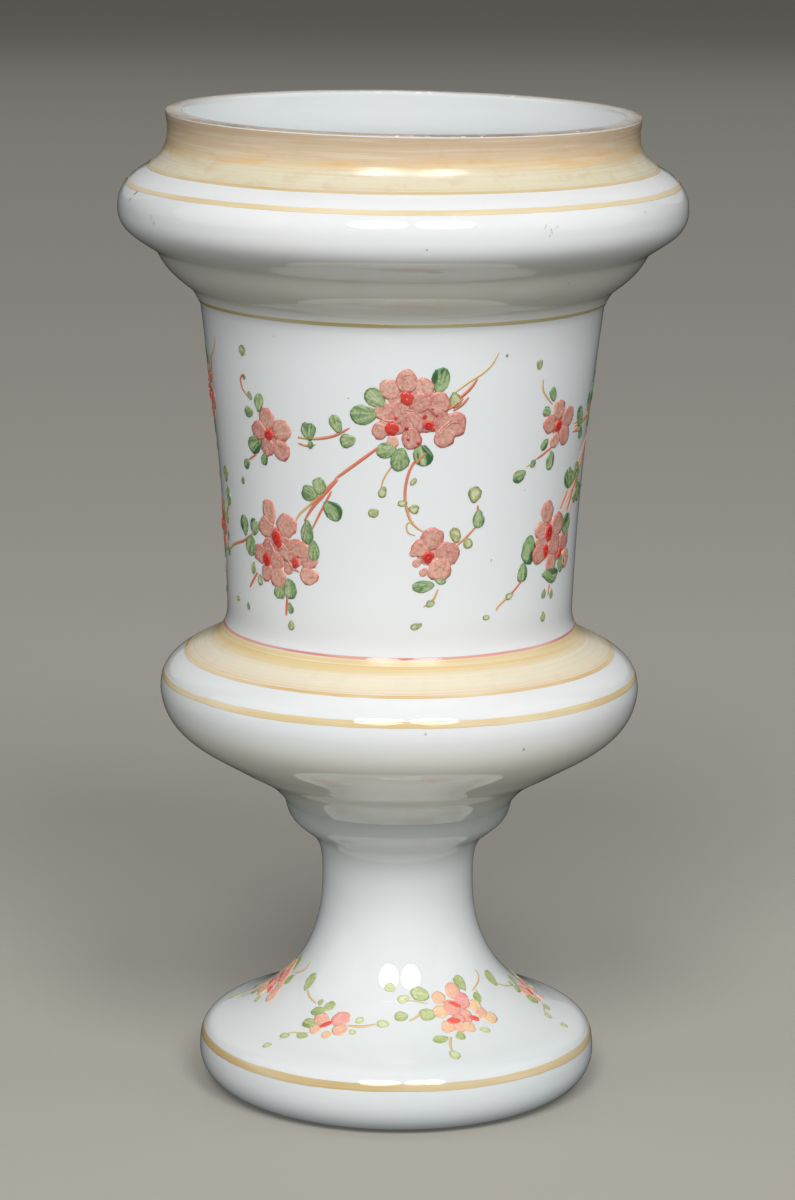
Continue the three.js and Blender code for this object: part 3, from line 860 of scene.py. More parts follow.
heights = {"petal": 0.18, "heart": 0.42, "leaf": 0.17, "stroke": 0.1}  # mm off the drum
runOut = {"petal": 1.1, "heart": 1.08, "leaf": 1.02}  # how far enamel spreads as it is pressed
ragged = {"petal": 1.0, "heart": 2.1, "leaf": 0.9}
wobbles = [(0.16, 1.3), (0.12, 3.5)]  # of a dab's edge: how far as a share, and how quick
strokeShape = {"half": 0.58, "fullest": 0.9, "taper": 0.5, "least": 0.6}
leafShape = {"root": 0.68, "full": 0.38, "bend": 1.6}
dabSink = 0.2  # how deep a dab is rooted, in mm
lifts = {  # mm; hearts and ridges stand on the petals, and over is a tendril across a leaf
    "wash": -0.12, "petal": 0.0, "heart": 0.1, "ridge": 0.2, "leaf": 0.0, "tendril": 0.0, "over": 0.14,
}
dabLayers = (0.03, 5)  # each lies a step in mm above the last, and after so many it starts again
strokeLayers = (0.02, 3)
seedReach = 9


def begin():  # an empty piece for dabs and strokes
    bm = bmesh.new()
    bm.verts.layers.float.new("tone")
    bm.verts.layers.float.new("seed")
    bm.loops.layers.uv.new("dab")
    return bm


def stamp(bm, kind, material):  # copies a form into the piece and returns its new vertices
    before = len(bm.verts)
    faces = len(bm.faces)
    bm.from_mesh(formMeshes[kind])
    bm.verts.ensure_lookup_table()
    bm.faces.ensure_lookup_table()
    for face in bm.faces[faces:]:
        face.material_index = material
    return bm.verts[before:]


def leafOutline(x, y):  # pinched at the root, full near the tip
    fromTip = 0.5 - x / 2
    return x, y * (leafShape["root"] + leafShape["full"] * (1 - fromTip ** leafShape["bend"]))


def layDab(bm, wall, kind, at, size, turn, tone, layer, material, chance):
    verts = stamp(bm, kind, material)
    toneLayer, seedLayer = bm.verts.layers.float["tone"], bm.verts.layers.float["seed"]
    length, width = Vector(size) * runOut[kind]
    seed = Vector((chance.uniform(-seedReach, seedReach), chance.uniform(-seedReach, seedReach), 0))
    start = wall.along(at[1])
    across, along = heading(turn), heading(turn + 90)
    for vert in verts:
        x, y, z = vert.co
        if kind == "leaf":
            x, y = leafOutline(x, y)
        spot = Vector((x, y, 0))
        wobble = sum(reach * noise.noise(spot * pace + seed) for reach, pace in wobbles)
        rough = 1 + wobble * ragged[kind]
        flat = across * x * length / 2 * rough + along * y * width / 2 * rough
        lift = z * heights[kind] * wall.relief + layer if z > 0 else -dabSink
        vert.co = wall.lay(at[0], start + flat.y, flat.x, lift)
        vert[toneLayer] = tone
        vert[seedLayer] = seed.x


def layStroke(bm, wall, path, width, tones, layer):
    verts = stamp(bm, "stroke", 0)
    toneLayer = bm.verts.layers.float["tone"]
    radius = wall.radiusAt(path[0][1])
    flat = [Vector((math.radians(a - path[0][0]) * radius, wall.along(h))) for a, h in path]
    for vert in verts:
        share = vert.co.z
        spot, along = onPath(flat, share)
        side = Vector((along.y, -along.x))
        thin = abs(2 * share - strokeShape["fullest"]) ** 3 * strokeShape["taper"]
        thick = width * strokeShape["half"] * (1 - thin)
        spot = spot + side * vert.co.x * thick
        lift = vert.co.y * heights["stroke"] * wall.relief * (strokeShape["least"] + thick)
        if vert.co.y > 0:
            lift += layer
        vert.co = wall.lay(path[0][0], spot.y, spot.x, lift)
        vert[toneLayer] = tones[0] + (tones[1] - tones[0]) * share


def onPath(points, share):  # place and heading on a smooth line through the points
    spans = len(points) - 1
    i = min(int(share * spans), spans - 1)
    t = share * spans - i
    a, b = points[max(i - 1, 0)], points[i]
    c, d = points[i + 1], points[min(i + 2, spans)]
    leave, arrive = (c - a) / 2, (d - b) / 2
    place = (
        b * (2 * t**3 - 3 * t**2 + 1) + leave * (t**3 - 2 * t**2 + t)
        + c * (3 * t**2 - 2 * t**3) + arrive * (t**3 - t**2)
    )
    along = b * (6 * t**2 - 6 * t) + leave * (3 * t**2 - 4 * t + 1)
    along = along + c * (6 * t - 6 * t**2) + arrive * (3 * t**2 - 2 * t)
    return place, along.normalized()


# The drum's sprays. Petals and hearts: angle, height, length, width, turn and tone. Leaves: the
# same, with the turn from root to tip. Strokes: places, width, and tone from red 0 to ochre 1.
# Ridges are strokes pushed up on the petals, and over is for strokes that cross a leaf.
highSpray = {
    "washes": [
        (0.8, 208.4, 12.0, 6.0, 4, 0.4), (2.2, 205.4, 13.0, 9.0, 20, 0.6),
        (5.6, 201.6, 12.0, 8.0, 350, 0.8), (-1.5, 200.8, 10.0, 7.0, 30, 0.7),
        (12.6, 199.0, 7.0, 5.0, 320, 0.8),
    ],
    "petals": [
        (-3.5, 209.5, 5.4, 5.0, 130, 0.3), (6.5, 210.0, 5.0, 4.8, 60, 0.35),
        (1.5, 211.8, 6.0, 5.8, 90, 0.2), (10.5, 205.5, 6.2, 6.0, 10, 0.8),
        (5.5, 205.8, 6.4, 5.2, 20, 0.6), (-5.0, 203.5, 5.4, 5.0, 190, 0.6),
        (-1.0, 203.0, 6.2, 5.6, 250, 0.75), (3.0, 200.3, 6.2, 6.0, 300, 0.85),
        (-6.3, 198.0, 4.0, 4.4, 200, 0.55), (3.0, 196.0, 5.6, 5.0, 270, 0.7),
        (-2.6, 195.0, 3.4, 3.2, 250, 0.2), (11.8, 200.8, 5.2, 4.6, 100, 0.75),
        (15.8, 199.7, 6.0, 6.4, 20, 0.85), (12.7, 196.2, 5.0, 5.8, 300, 0.6),
    ],
    "hearts": [
        (1.5, 207.0, 3.5, 3.7, 0, 0.7), (-2.8, 198.5, 3.4, 3.6, 20, 0.75), (7.8, 199.7, 2.7, 2.4, 0, 0.7),
        (6.7, 202.0, 1.2, 1.2, 0, 1.0), (1.5, 198.8, 1.1, 1.0, 0, 1.0), (2.0, 195.7, 0.8, 0.8, 0, 1.0),
        (8.8, 204.1, 0.7, 0.6, 0, 1.0), (10.2, 202.3, 0.7, 0.6, 0, 1.0), (4.9, 194.8, 0.8, 0.7, 0, 0.8),
        (-1.6, 201.7, 0.9, 0.8, 0, 0.1), (9.0, 198.7, 1.6, 1.2, 330, 0.2),
    ],
    "leaves": [
        (11.0, 211.8, 7.2, 5.2, 80, 1.0), (-7.5, 207.0, 6.2, 5.2, 140, 0.5),
        (-10.9, 202.3, 7.5, 6.0, 186, 0.55), (-4.2, 192.6, 5.7, 4.5, 190, 0.5),
        (-0.4, 190.2, 6.4, 5.2, 262, 0.55), (6.3, 191.3, 6.3, 5.8, 290, 0.9),
        (15.4, 206.4, 4.6, 3.4, 280, 0.4),
    ],
    "strokes": [
        ([(13.5, 204.0), (17.0, 207.0), (20.0, 209.5), (22.0, 212.0)], 0.9, (0, 0.2)),
        ([(15.0, 203.5), (17.5, 205.0), (19.5, 207.0)], 0.8, (0, 0.1)),
        ([(14.5, 208.0), (19.0, 211.0), (23.5, 213.5), (26.5, 216.0), (28.3, 219.0)], 0.6, (0.9, 1)),
        ([(-2.5, 188.5), (-5.0, 185.0), (-6.0, 182.0)], 0.5, (0.6, 0.9)),
        (
            [(5.5, 191.5), (2.5, 187.0), (1.3, 181.0), (2.0, 176.0), (4.0, 172.0), (8.0, 169.5)],
            0.8, (0.1, 0.8),
        ),
        ([(4.0, 172.8), (2.0, 172.3), (2.2, 170.0), (4.5, 169.0)], 0.5, (0.9, 0.9)),
        ([(-6.5, 193.5), (-15.0, 187.5), (-20.0, 184.0)], 0.9, (0.1, 0.3)),
        ([(-19.2, 184.5), (-24.0, 180.4), (-28.5, 176.4), (-32.5, 173.3), (-34.5, 170.5)], 0.7, (0.3, 1)),
        ([(-19.4, 183.9), (-24.0, 179.3), (-28.0, 175.4), (-31.0, 171.5)], 0.9, (0.1, 0.3)),
        ([(-21.5, 180.5), (-24.0, 176.5), (-26.5, 172.5), (-28.5, 169.2)], 0.7, (0.1, 0.3)),
        ([(-32.0, 194.7), (-26.0, 194.8), (-20.0, 196.0), (-15.0, 198.5)], 0.8, (0.7, 0)),
        ([(-32.0, 193.0), (-29.0, 192.6), (-26.0, 193.2)], 0.6, (0.3, 0.7)),
    ],
    "over": [
        ([(13.8, 204.0), (15.0, 204.8), (17.9, 206.7)], 0.6, (0.2, 0.3)),
        ([(-2.9, 188.2), (-1.2, 190.3), (0.7, 192.4)], 0.5, (0.4, 0.4)),
        ([(4.5, 189.0), (5.7, 190.6), (7.0, 192.0)], 0.6, (0.3, 0.3)),
        ([(-24.4, 179.4), (-26.4, 177.8), (-28.6, 176.2)], 0.6, (0.3, 0.4)),
    ],
    "ridges": [
        ([(10.8, 196.6), (12.7, 198.6), (14.8, 200.3), (17.0, 199.9)], 0.5, (1, 1)),
        ([(10.4, 197.6), (12.4, 199.4), (14.6, 201.0)], 0.5, (0, 0.2)),
        ([(-0.6, 211.0), (0.6, 213.2), (2.4, 213.6)], 0.4, (0.7, 0.9)),
        ([(6.2, 205.6), (8.6, 203.6), (10.6, 203.0)], 0.5, (1, 0.8)),
        ([(1.0, 204.0), (4.0, 203.4), (6.0, 201.4)], 0.4, (0.8, 1)),
        ([(1.6, 198.0), (2.6, 196.6), (2.2, 194.8)], 0.4, (1, 1)),
        ([(-5.6, 201.4), (-3.6, 200.8), (-1.4, 201.2)], 0.4, (0.2, 0.6)),
    ],
    "scraps": [
        (-5.5, 181.0, 3.4, 2.4, 250, 0.4), (-8.3, 175.1, 3.0, 2.6, 200, 0.3),
        (0.5, 178.0, 2.6, 1.8, 190, 0.2), (4.0, 176.4, 2.8, 2.6, 350, 0.2),
        (3.7, 184.0, 2.4, 1.4, 50, 0.2), (-29.0, 179.3, 5.0, 4.8, 160, 0.6),
        (-25.5, 181.5, 5.0, 4.2, 100, 0.5), (-21.4, 175.2, 6.4, 5.2, 320, 0.9),
        (-28.3, 196.7, 5.0, 4.6, 90, 0.6), (-27.8, 193.0, 2.2, 1.8, 260, 0.8),
        (-19.3, 199.3, 5.2, 3.8, 110, 0.5), (-15.9, 194.9, 4.6, 4.2, 200, 0.5),
    ],
}
lowSpray = {
    "washes": [
        (-42.2, 162.6, 12.0, 8.0, 90, 0.7), (-46.6, 160.6, 8.0, 6.0, 250, 0.8),
        (-36.6, 161.4, 8.0, 6.0, 340, 0.6),
    ],
    "petals": [
        (-45.4, 172.5, 6.4, 4.8, 100, 0.3), (-47.2, 168.0, 6.0, 5.4, 170, 0.55),
        (-38.2, 169.3, 6.6, 6.2, 40, 0.5), (-38.8, 162.8, 7.2, 5.6, 300, 0.6),
        (-35.0, 163.3, 5.2, 5.0, 20, 0.65), (-45.5, 162.3, 6.4, 5.2, 200, 0.85),
        (-50.6, 160.0, 5.2, 5.2, 190, 0.75), (-47.6, 155.2, 5.2, 3.8, 240, 0.65),
        (-42.6, 154.5, 5.8, 5.4, 290, 0.6), (-43.0, 159.0, 5.2, 4.6, 250, 0.85),
        (-30.2, 156.2, 5.0, 5.4, 290, 0.4), (-30.0, 160.4, 5.0, 4.6, 20, 0.75),
        (-38.0, 157.3, 3.2, 3.0, 230, 0.4), (-32.2, 163.0, 4.6, 4.0, 70, 0.55),
    ],
    "hearts": [
        (-42.3, 165.2, 4.8, 3.2, 100, 0.8), (-47.3, 158.8, 3.6, 2.8, 100, 1.0),
        (-35.0, 159.3, 3.0, 2.0, 80, 0.7),
    ],
    "leaves": [
        (-59.2, 166.8, 5.6, 4.6, 100, 0.95), (-53.2, 167.2, 5.0, 4.4, 80, 0.9),
        (-55.8, 161.6, 6.0, 5.4, 250, 0.7), (-30.4, 168.4, 7.0, 4.2, 265, 0.6),
        (-28.2, 163.4, 5.8, 3.8, 268, 0.6), (-37.8, 151.8, 6.0, 5.0, 280, 0.7),
        (-42.2, 150.6, 4.6, 4.2, 250, 0.5), (-37.6, 146.3, 3.2, 1.9, 280, 0.7),
    ],
    "strokes": [
        ([(-54.5, 165.0), (-60.0, 162.3), (-68.0, 160.0), (-73.0, 158.0), (-80.0, 156.5)], 0.8, (0, 0.9)),
        ([(-52.5, 154.5), (-55.0, 152.0), (-57.5, 149.5)], 0.8, (0, 0.3)),
        ([(-38.8, 149.5), (-39.2, 146.5), (-39.5, 144.0)], 0.8, (0.1, 0.3)),
    ],
    "over": [([(-29.8, 171.8), (-31.2, 169.4), (-32.2, 166.8)], 0.5, (0.3, 0.5))],
    "ridges": [
        ([(-47.6, 171.0), (-45.8, 169.6), (-43.6, 168.6)], 0.4, (0.1, 0.4)),
        ([(-40.6, 164.6), (-38.0, 162.6), (-35.6, 162.2)], 0.4, (0.1, 0.3)),
        ([(-45.6, 164.0), (-43.6, 161.4), (-40.6, 158.8)], 0.5, (1, 0.9)),
        ([(-38.4, 160.4), (-36.4, 157.8), (-33.6, 157.0)], 0.5, (0.9, 1)),
        ([(-48.6, 162.0), (-50.8, 159.6), (-50.0, 157.4)], 0.4, (1, 0.8)),
    ],
    "scraps": [
        (-54.8, 155.3, 3.4, 2.2, 260, 0.3), (-51.3, 152.5, 3.2, 2.2, 270, 0.4),
        (-37.5, 141.5, 2.8, 2.2, 270, 0.2), (-58.8, 144.0, 2.2, 1.6, 280, 0.6),
        (-74.0, 157.5, 3.4, 1.6, 280, 0.7), (-74.0, 161.5, 3.2, 1.4, 90, 0.7),
    ],
}
lowBlossom = {
    "washes": [(9.8, 163.4, 8.0, 7.0, 0, 0.7)],
    "petals": [
        (9.8, 168.0, 6.0, 6.0, 80, 0.55), (14.9, 163.9, 6.2, 6.4, 10, 0.85),
        (12.5, 159.7, 6.0, 6.2, 300, 0.5), (6.1, 165.4, 4.6, 4.2, 160, 0.55),
        (4.0, 164.1, 1.8, 2.0, 180, 0.3), (5.1, 161.3, 2.4, 2.0, 210, 0.3),
        (7.3, 158.7, 2.4, 2.0, 230, 0.3),
    ],
    "hearts": [(8.6, 163.0, 3.2, 3.2, 0, 0.75)],
    "leaves": [
        (7.3, 154.8, 6.2, 3.8, 186, 0.6), (12.7, 156.5, 3.4, 2.6, 340, 0.5),
        (17.2, 168.8, 4.6, 3.2, 110, 0.2), (21.3, 166.4, 3.2, 2.8, 300, 0.2),
        (24.6, 173.0, 5.4, 3.6, 270, 0.5), (23.1, 179.8, 4.6, 4.2, 90, 0.3),
    ],
    "strokes": [
        ([(12.0, 154.0), (10.5, 151.0), (7.5, 149.0)], 0.6, (0.8, 0.3)),
        ([(17.0, 165.5), (20.0, 167.5), (23.5, 170.5), (24.5, 172.0)], 0.6, (0.4, 0.2)),
        ([(24.2, 171.0), (24.6, 173.8), (24.0, 176.8)], 0.8, (0, 0.1)),
    ],
    "scraps": [
        (9.7, 149.9, 2.6, 2.0, 200, 0.5), (5.3, 143.7, 3.4, 2.0, 200, 0.4),
        (28.8, 145.0, 2.2, 1.4, 180, 0.2),
    ],
}
highBlossom = {
    "washes": [(-42.2, 194.2, 7.4, 7.0, 0, 0.7)],
    "petals": [
        (-43.6, 198.5, 6.0, 5.6, 95, 0.5), (-38.0, 195.9, 6.2, 5.6, 20, 0.6),
        (-38.5, 190.4, 5.6, 5.4, 310, 0.6), (-44.0, 190.8, 5.0, 4.6, 240, 0.7),
        (-47.4, 195.0, 5.2, 5.0, 170, 0.7),
    ],
    "hearts": [(-43.0, 194.2, 3.2, 3.0, 0, 0.8)],
    "leaves": [
        (-49.8, 191.0, 6.8, 5.2, 215, 1.0), (-45.9, 187.2, 3.8, 2.8, 250, 0.9),
        (-51.2, 199.7, 4.0, 3.2, 190, 0.6), (-46.3, 202.8, 5.2, 3.6, 80, 0.5),
    ],
    "strokes": [
        ([(-52.5, 209.8), (-54.0, 208.5), (-53.5, 206.0), (-51.0, 203.8)], 0.7, (0.1, 0.3)),
        ([(-49.5, 188.0), (-51.5, 187.0), (-53.5, 186.0)], 0.6, (0.1, 0.4)),
    ],
    "scraps": [
        (-50.2, 204.2, 2.6, 2.0, 120, 0.5), (-54.9, 184.8, 3.4, 2.8, 230, 0.9),
        (-58.0, 179.6, 2.2, 1.6, 260, 0.8), (-52.0, 209.3, 1.4, 1.2, 90, 0.9),
        (-51.8, 216.6, 3.0, 2.6, 90, 0.4),
    ],
}

# The high blossom and the low spray one step to the right were painted differently.
highBlossomRight = {
    "washes": [(54.8, 196.0, 7.0, 6.4, 0, 0.7)],
    "petals": [
        (54.0, 200.5, 5.6, 5.4, 100, 0.5), (59.5, 198.0, 6.0, 5.4, 20, 0.7),
        (58.5, 193.0, 5.6, 5.0, 300, 0.6), (53.2, 192.2, 4.0, 3.8, 240, 0.5),
        (49.8, 197.0, 4.8, 5.0, 170, 0.6),
    ],
    "hearts": [(54.0, 196.2, 3.2, 2.8, 0, 0.9)],
    "leaves": [
        (50.0, 205.3, 4.2, 3.2, 110, 0.6), (48.0, 200.7, 3.6, 3.0, 170, 0.6),
        (48.3, 191.5, 3.6, 2.8, 230, 0.9), (51.9, 186.7, 5.2, 3.8, 260, 0.7),
        (43.8, 186.8, 2.4, 2.0, 220, 0.7), (38.7, 183.8, 4.8, 3.8, 200, 0.8),
    ],
    "strokes": [
        ([(44.7, 210.0), (45.5, 206.5), (50.0, 202.5)], 0.6, (0.9, 0.6)),
        ([(52.0, 190.3), (48.5, 189.0), (45.0, 187.7)], 0.7, (0, 0.2)),
        ([(45.0, 187.7), (43.0, 186.8), (41.0, 186.0)], 0.5, (0.8, 1)),
        ([(64.0, 195.5), (72.0, 195.6), (80.0, 195.5)], 0.7, (0.8, 0.3)),
        ([(64.0, 193.0), (67.0, 193.4), (70.0, 194.5)], 0.6, (0.2, 0.5)),
    ],
    "scraps": [
        (42.7, 214.3, 2.8, 2.4, 90, 0.4), (68.0, 197.6, 4.6, 4.0, 90, 0.9),
        (71.0, 192.0, 3.8, 3.2, 260, 0.7),
    ],
}
lowSprayRight = {
    "washes": [(54.0, 164.0, 12.0, 8.0, 90, 0.7), (59.5, 161.0, 9.0, 7.0, 330, 0.7)],
    "petals": [
        (53.0, 172.0, 6.2, 5.2, 95, 0.3), (50.5, 167.0, 5.2, 5.0, 170, 0.5),
        (59.3, 167.6, 7.0, 6.4, 40, 0.5), (58.0, 162.2, 6.4, 5.6, 300, 0.7),
        (50.0, 160.5, 5.2, 5.2, 190, 0.75), (51.5, 164.0, 5.4, 4.8, 200, 0.8),
        (57.0, 157.2, 5.2, 4.8, 290, 0.6), (65.0, 162.6, 6.0, 5.4, 20, 0.7),
        (67.0, 157.2, 5.4, 5.0, 290, 0.4),
    ],
    "hearts": [
        (54.3, 166.0, 4.4, 3.2, 95, 0.8), (53.0, 161.0, 3.2, 2.6, 90, 1.0),
        (61.7, 159.3, 2.8, 2.0, 90, 0.7),
    ],
    "leaves": [
        (45.0, 162.4, 8.4, 6.2, 265, 0.95), (42.6, 156.2, 5.6, 4.0, 265, 0.7),
        (57.0, 153.8, 8.2, 4.6, 350, 0.9), (64.0, 156.2, 5.0, 4.4, 290, 0.7),
        (66.0, 166.8, 6.2, 5.2, 60, 0.95), (64.8, 179.8, 6.2, 5.6, 120, 0.95),
        (72.3, 179.5, 4.8, 4.4, 80, 0.7), (71.8, 173.5, 3.4, 3.0, 340, 0.6),
    ],
    "strokes": [
        ([(42.5, 154.0), (38.0, 150.7), (33.5, 148.0), (32.5, 146.5)], 0.7, (0, 1)),
        ([(57.0, 151.0), (56.6, 149.5), (56.3, 148.0)], 0.6, (0.1, 0.3)),
        ([(60.5, 172.0), (62.8, 174.4), (65.0, 177.0)], 0.8, (0, 0.2)),
        ([(65.5, 170.5), (68.0, 173.6), (70.5, 177.0)], 0.8, (0, 0.2)),
        ([(70.0, 181.0), (78.0, 187.0), (86.0, 190.0)], 0.7, (0.5, 0.9)),
    ],
    "scraps": [
        (53.8, 148.8, 2.8, 2.0, 260, 0.5), (58.3, 148.3, 2.8, 1.9, 280, 0.5),
        (54.0, 142.3, 2.8, 2.2, 270, 0.3), (37.3, 150.2, 2.6, 1.9, 200, 0.3),
    ],
}

# The foot's sprays, with the distance from the axis in place of the height
footSpray = {
    "washes": [
        (24.0, 34.2, 8.0, 8.0, 0, 0.1), (31.6, 33.6, 8.4, 7.4, 0, 0.95), (38.5, 35.2, 7.6, 5.0, 0, 0.4),
        (28.0, 37.6, 7.4, 4.4, 0, 0.3),
    ],
    "petals": [
        (22.6, 30.7, 3.8, 3.8, 120, 0.05), (21.5, 33.8, 4.6, 4.0, 180, 0.0),
        (22.3, 37.9, 4.0, 3.8, 220, 0.05), (27.8, 38.4, 3.8, 3.6, 270, 0.4),
        (31.9, 38.8, 3.6, 3.2, 280, 0.1), (44.4, 37.4, 4.8, 4.0, 330, 0.05),
        (41.2, 33.6, 3.8, 3.6, 30, 0.1), (32.0, 29.8, 4.6, 4.4, 95, 0.6),
        (35.2, 32.0, 4.8, 4.4, 60, 0.95), (28.0, 33.2, 4.6, 4.6, 120, 1.0),
        (32.6, 35.7, 4.6, 4.6, 300, 0.9), (42.0, 35.6, 3.4, 3.6, 0, 0.7),
        (28.5, 36.4, 4.0, 4.2, 200, 0.85),
    ],
    "hearts": [
        (30.0, 32.6, 4.4, 1.5, 330, 0.4), (26.1, 36.4, 3.6, 2.2, 345, 0.4),
        (36.6, 36.8, 2.8, 1.6, 330, 0.4),
    ],
    "leaves": [
        (12.7, 29.7, 5.4, 4.4, 160, 0.5), (14.9, 34.2, 5.0, 4.4, 185, 0.5),
        (38.6, 28.6, 4.9, 3.5, 110, 0.9), (45.2, 32.2, 3.4, 2.8, 80, 0.8),
        (37.7, 40.6, 3.3, 2.1, 340, 0.2), (17.4, 41.4, 4.7, 3.0, 185, 0.9),
        (25.9, 41.0, 3.2, 3.0, 260, 0.6), (20.1, 47.4, 3.8, 3.2, 280, 0.35),
    ],
    "strokes": [
        ([(54.4, 27.3), (54.6, 28.4), (50.5, 29.5), (42.6, 30.6)], 0.6, (0.9, 1)),
        ([(47.6, 30.5), (46.6, 31.2), (45.5, 31.8)], 0.6, (0.9, 0.9)),
        ([(5.8, 35.6), (9.2, 34.6), (13.2, 33.1)], 0.6, (0.9, 0.9)),
        ([(4.3, 30.9), (8.8, 31.0), (16.6, 31.7)], 0.4, (1, 1)),
        ([(22.0, 41.0), (20.3, 43.1), (19.6, 45.7)], 0.8, (0.8, 1)),
    ],
    "scraps": [
        (-3.9, 28.4, 3.1, 2.9, 150, 0.1), (3.6, 30.5, 3.4, 2.7, 200, 0.2),
        (2.2, 34.4, 3.9, 3.3, 190, 0.5), (-5.9, 36.4, 3.4, 2.7, 180, 0.1),
    ],
}
footBlossom = {
    "washes": [(-29.6, 37.6, 6.4, 4.0, 0, 0.6)],
    "petals": [
        (-25.7, 36.2, 5.0, 4.8, 60, 1.0), (-24.1, 39.2, 3.6, 4.2, 300, 0.5),
        (-34.6, 37.2, 4.7, 4.0, 150, 0.7), (-34.5, 40.4, 3.0, 3.0, 230, 0.15),
        (-28.4, 41.4, 2.4, 2.6, 280, 0.2),
    ],
    "hearts": [(-31.0, 38.3, 3.4, 1.6, 40, 0.9)],
    "leaves": [
        (-55.6, 30.0, 5.9, 3.8, 95, 0.55), (-34.3, 33.5, 3.6, 3.0, 40, 0.7),
        (-38.4, 35.3, 4.8, 2.9, 200, 0.9), (-40.3, 33.2, 2.0, 1.9, 120, 0.6),
        (-38.7, 39.1, 4.4, 3.6, 170, 0.9), (-37.7, 43.2, 3.7, 2.6, 190, 0.6),
        (-44.4, 44.7, 3.2, 2.4, 190, 0.45), (-46.5, 49.9, 2.7, 2.3, 220, 0.4),
        (-16.8, 35.9, 2.5, 2.3, 20, 0.1), (-18.3, 39.4, 2.2, 1.9, 330, 0.1),
    ],
    "strokes": [
        ([(-53.0, 31.6), (-48.0, 32.8), (-41.4, 33.7)], 0.6, (0.8, 1)),
        ([(-44.8, 46.6), (-43.7, 43.5), (-40.0, 42.6), (-36.6, 41.8)], 0.5, (0.9, 0.9)),
        ([(-21.2, 37.7), (-14.8, 37.5), (-9.5, 36.6)], 0.8, (0.8, 1)),
    ],
    "scraps": [],
}


def onDrum(place):
    return place


def onFoot(place):  # angle and distance from the axis, to angle and height
    return place[0], footWall.heightAtRadius(place[1])


# Rounds of sprays: the painter's repeats in degrees, the motifs with their node names, the motifs
# painted otherwise at one repeat, and the finishes
sprayRounds = {
    "drum": {
        "wall": bowlWall, "spot": onDrum, "steps": [0, 97, 186, 265], "seed": 0,
        "motifs": {
            "highSpray": (highSpray, "high_spray"),
            "lowSpray": (lowSpray, "low_spray"),
            "lowBlossom": (lowBlossom, "low_blossom"),
            "highBlossom": (highBlossom, "high_blossom"),
        },
        "otherwise": {("highBlossom", 1): highBlossomRight, ("lowSpray", 1): lowSprayRight},
        "piece": "Blossoms", "blossom": ["petal", "heart"], "leaf": "leaf", "stroke": "stroke",
        "slot": "blossom_enamel",
    },
    "foot": {
        "wall": footWall, "spot": onFoot, "steps": [0, 120, 240], "seed": 7,
        "motifs": {
            "footSpray": (footSpray, "foot_spray"),
            "footBlossom": (footBlossom, "foot_blossom"),
        },
        "otherwise": {},
        "piece": "Petals", "blossom": ["footPetal", "footHeart"], "leaf": "footLeaf",
        "stroke": "footStroke", "slot": "pale_blossom_enamel",
    },
}
looseness = {"grown": 0.08, "angle": 0.5, "height": 0.4, "turn": 14, "tone": 0.2, "stroke": 0.4}
seedStep = 40  # between one repeat's random draws and the next


class Hand:  # the painter's hand at one repeat of a motif
    def __init__(self, around, step, loose, seed):
        self.wall, self.spot = around["wall"], around["spot"]
        self.step = step
        self.loose = loose  # 0 follows the motif, 1 paints it a little differently
        self.chance = random.Random(seed)

    def stray(self, key):
        return self.chance.uniform(-looseness[key], looseness[key]) * self.loose

    def moved(self, dab):
        angle, height, length, width, turn, tone = dab
        grown = 1 + self.stray("grown")
        place = self.spot((angle + self.step + self.stray("angle"), height + self.stray("height")))
        turn += self.stray("turn")
        tone = min(1.0, max(0.0, tone + self.stray("tone")))
        return place, (length * grown, width * grown), turn, tone

    def dabs(self, bm, kind, dabs, base, material=0):
        rise, count = dabLayers
        for order, dab in enumerate(dabs):
            place, size, turn, tone = self.moved(dab)
            layer = base + order % count * rise
            layDab(bm, self.wall, kind, place, size, turn, tone, layer, material, self.chance)

    def strokes(self, bm, strokes, base):
        rise, count = strokeLayers
        for order, (path, width, tones) in enumerate(strokes):
            shift = self.stray("stroke")
            places = [self.spot((a + self.step + shift, h + shift)) for a, h in path]
            layStroke(bm, self.wall, places, width, tones, base + rise * (order % count))


def addSprays(title, around):
    for repeat, step in enumerate(around["steps"]):
        number = repeat + 1
        leaves, tendrils = begin(), begin()
        for name, (motif, node) in around["motifs"].items():
            other = around["otherwise"].get((name, repeat))
            motif = other or motif
            seed = repeat * seedStep + len(name) + around["seed"]
            hand = Hand(around, 0 if other else step, 0 if other or repeat == 0 else 1, seed)
            blossoms = begin()
            hand.dabs(blossoms, "petal", motif["washes"], lifts["wash"])
            hand.dabs(blossoms, "petal", motif["petals"], lifts["petal"])
            hand.strokes(blossoms, motif.get("ridges", []), lifts["ridge"])
            hand.dabs(blossoms, "heart", motif["hearts"], lifts["heart"], material=1)
            piece, replaced = f"{name}{around['piece']}{number}", [f"{node}_{number}"]
            addPiece(piece, blossoms, around["blossom"], replaced, sharpAbove=180)
            hand.dabs(leaves, "leaf", motif["leaves"], lifts["leaf"])
            hand.dabs(leaves, "leaf", motif["scraps"], lifts["leaf"])
            hand.strokes(tendrils, motif["strokes"], lifts["tendril"])
            hand.strokes(tendrils, motif.get("over", []), lifts["over"])
        addPiece(f"{title}Leaves{number}", leaves, [around["leaf"]], sharpAbove=180)
        addPiece(f"{title}Tendrils{number}", tendrils, [around["stroke"]], sharpAbove=180)
    print(f"{title} sprays laid")


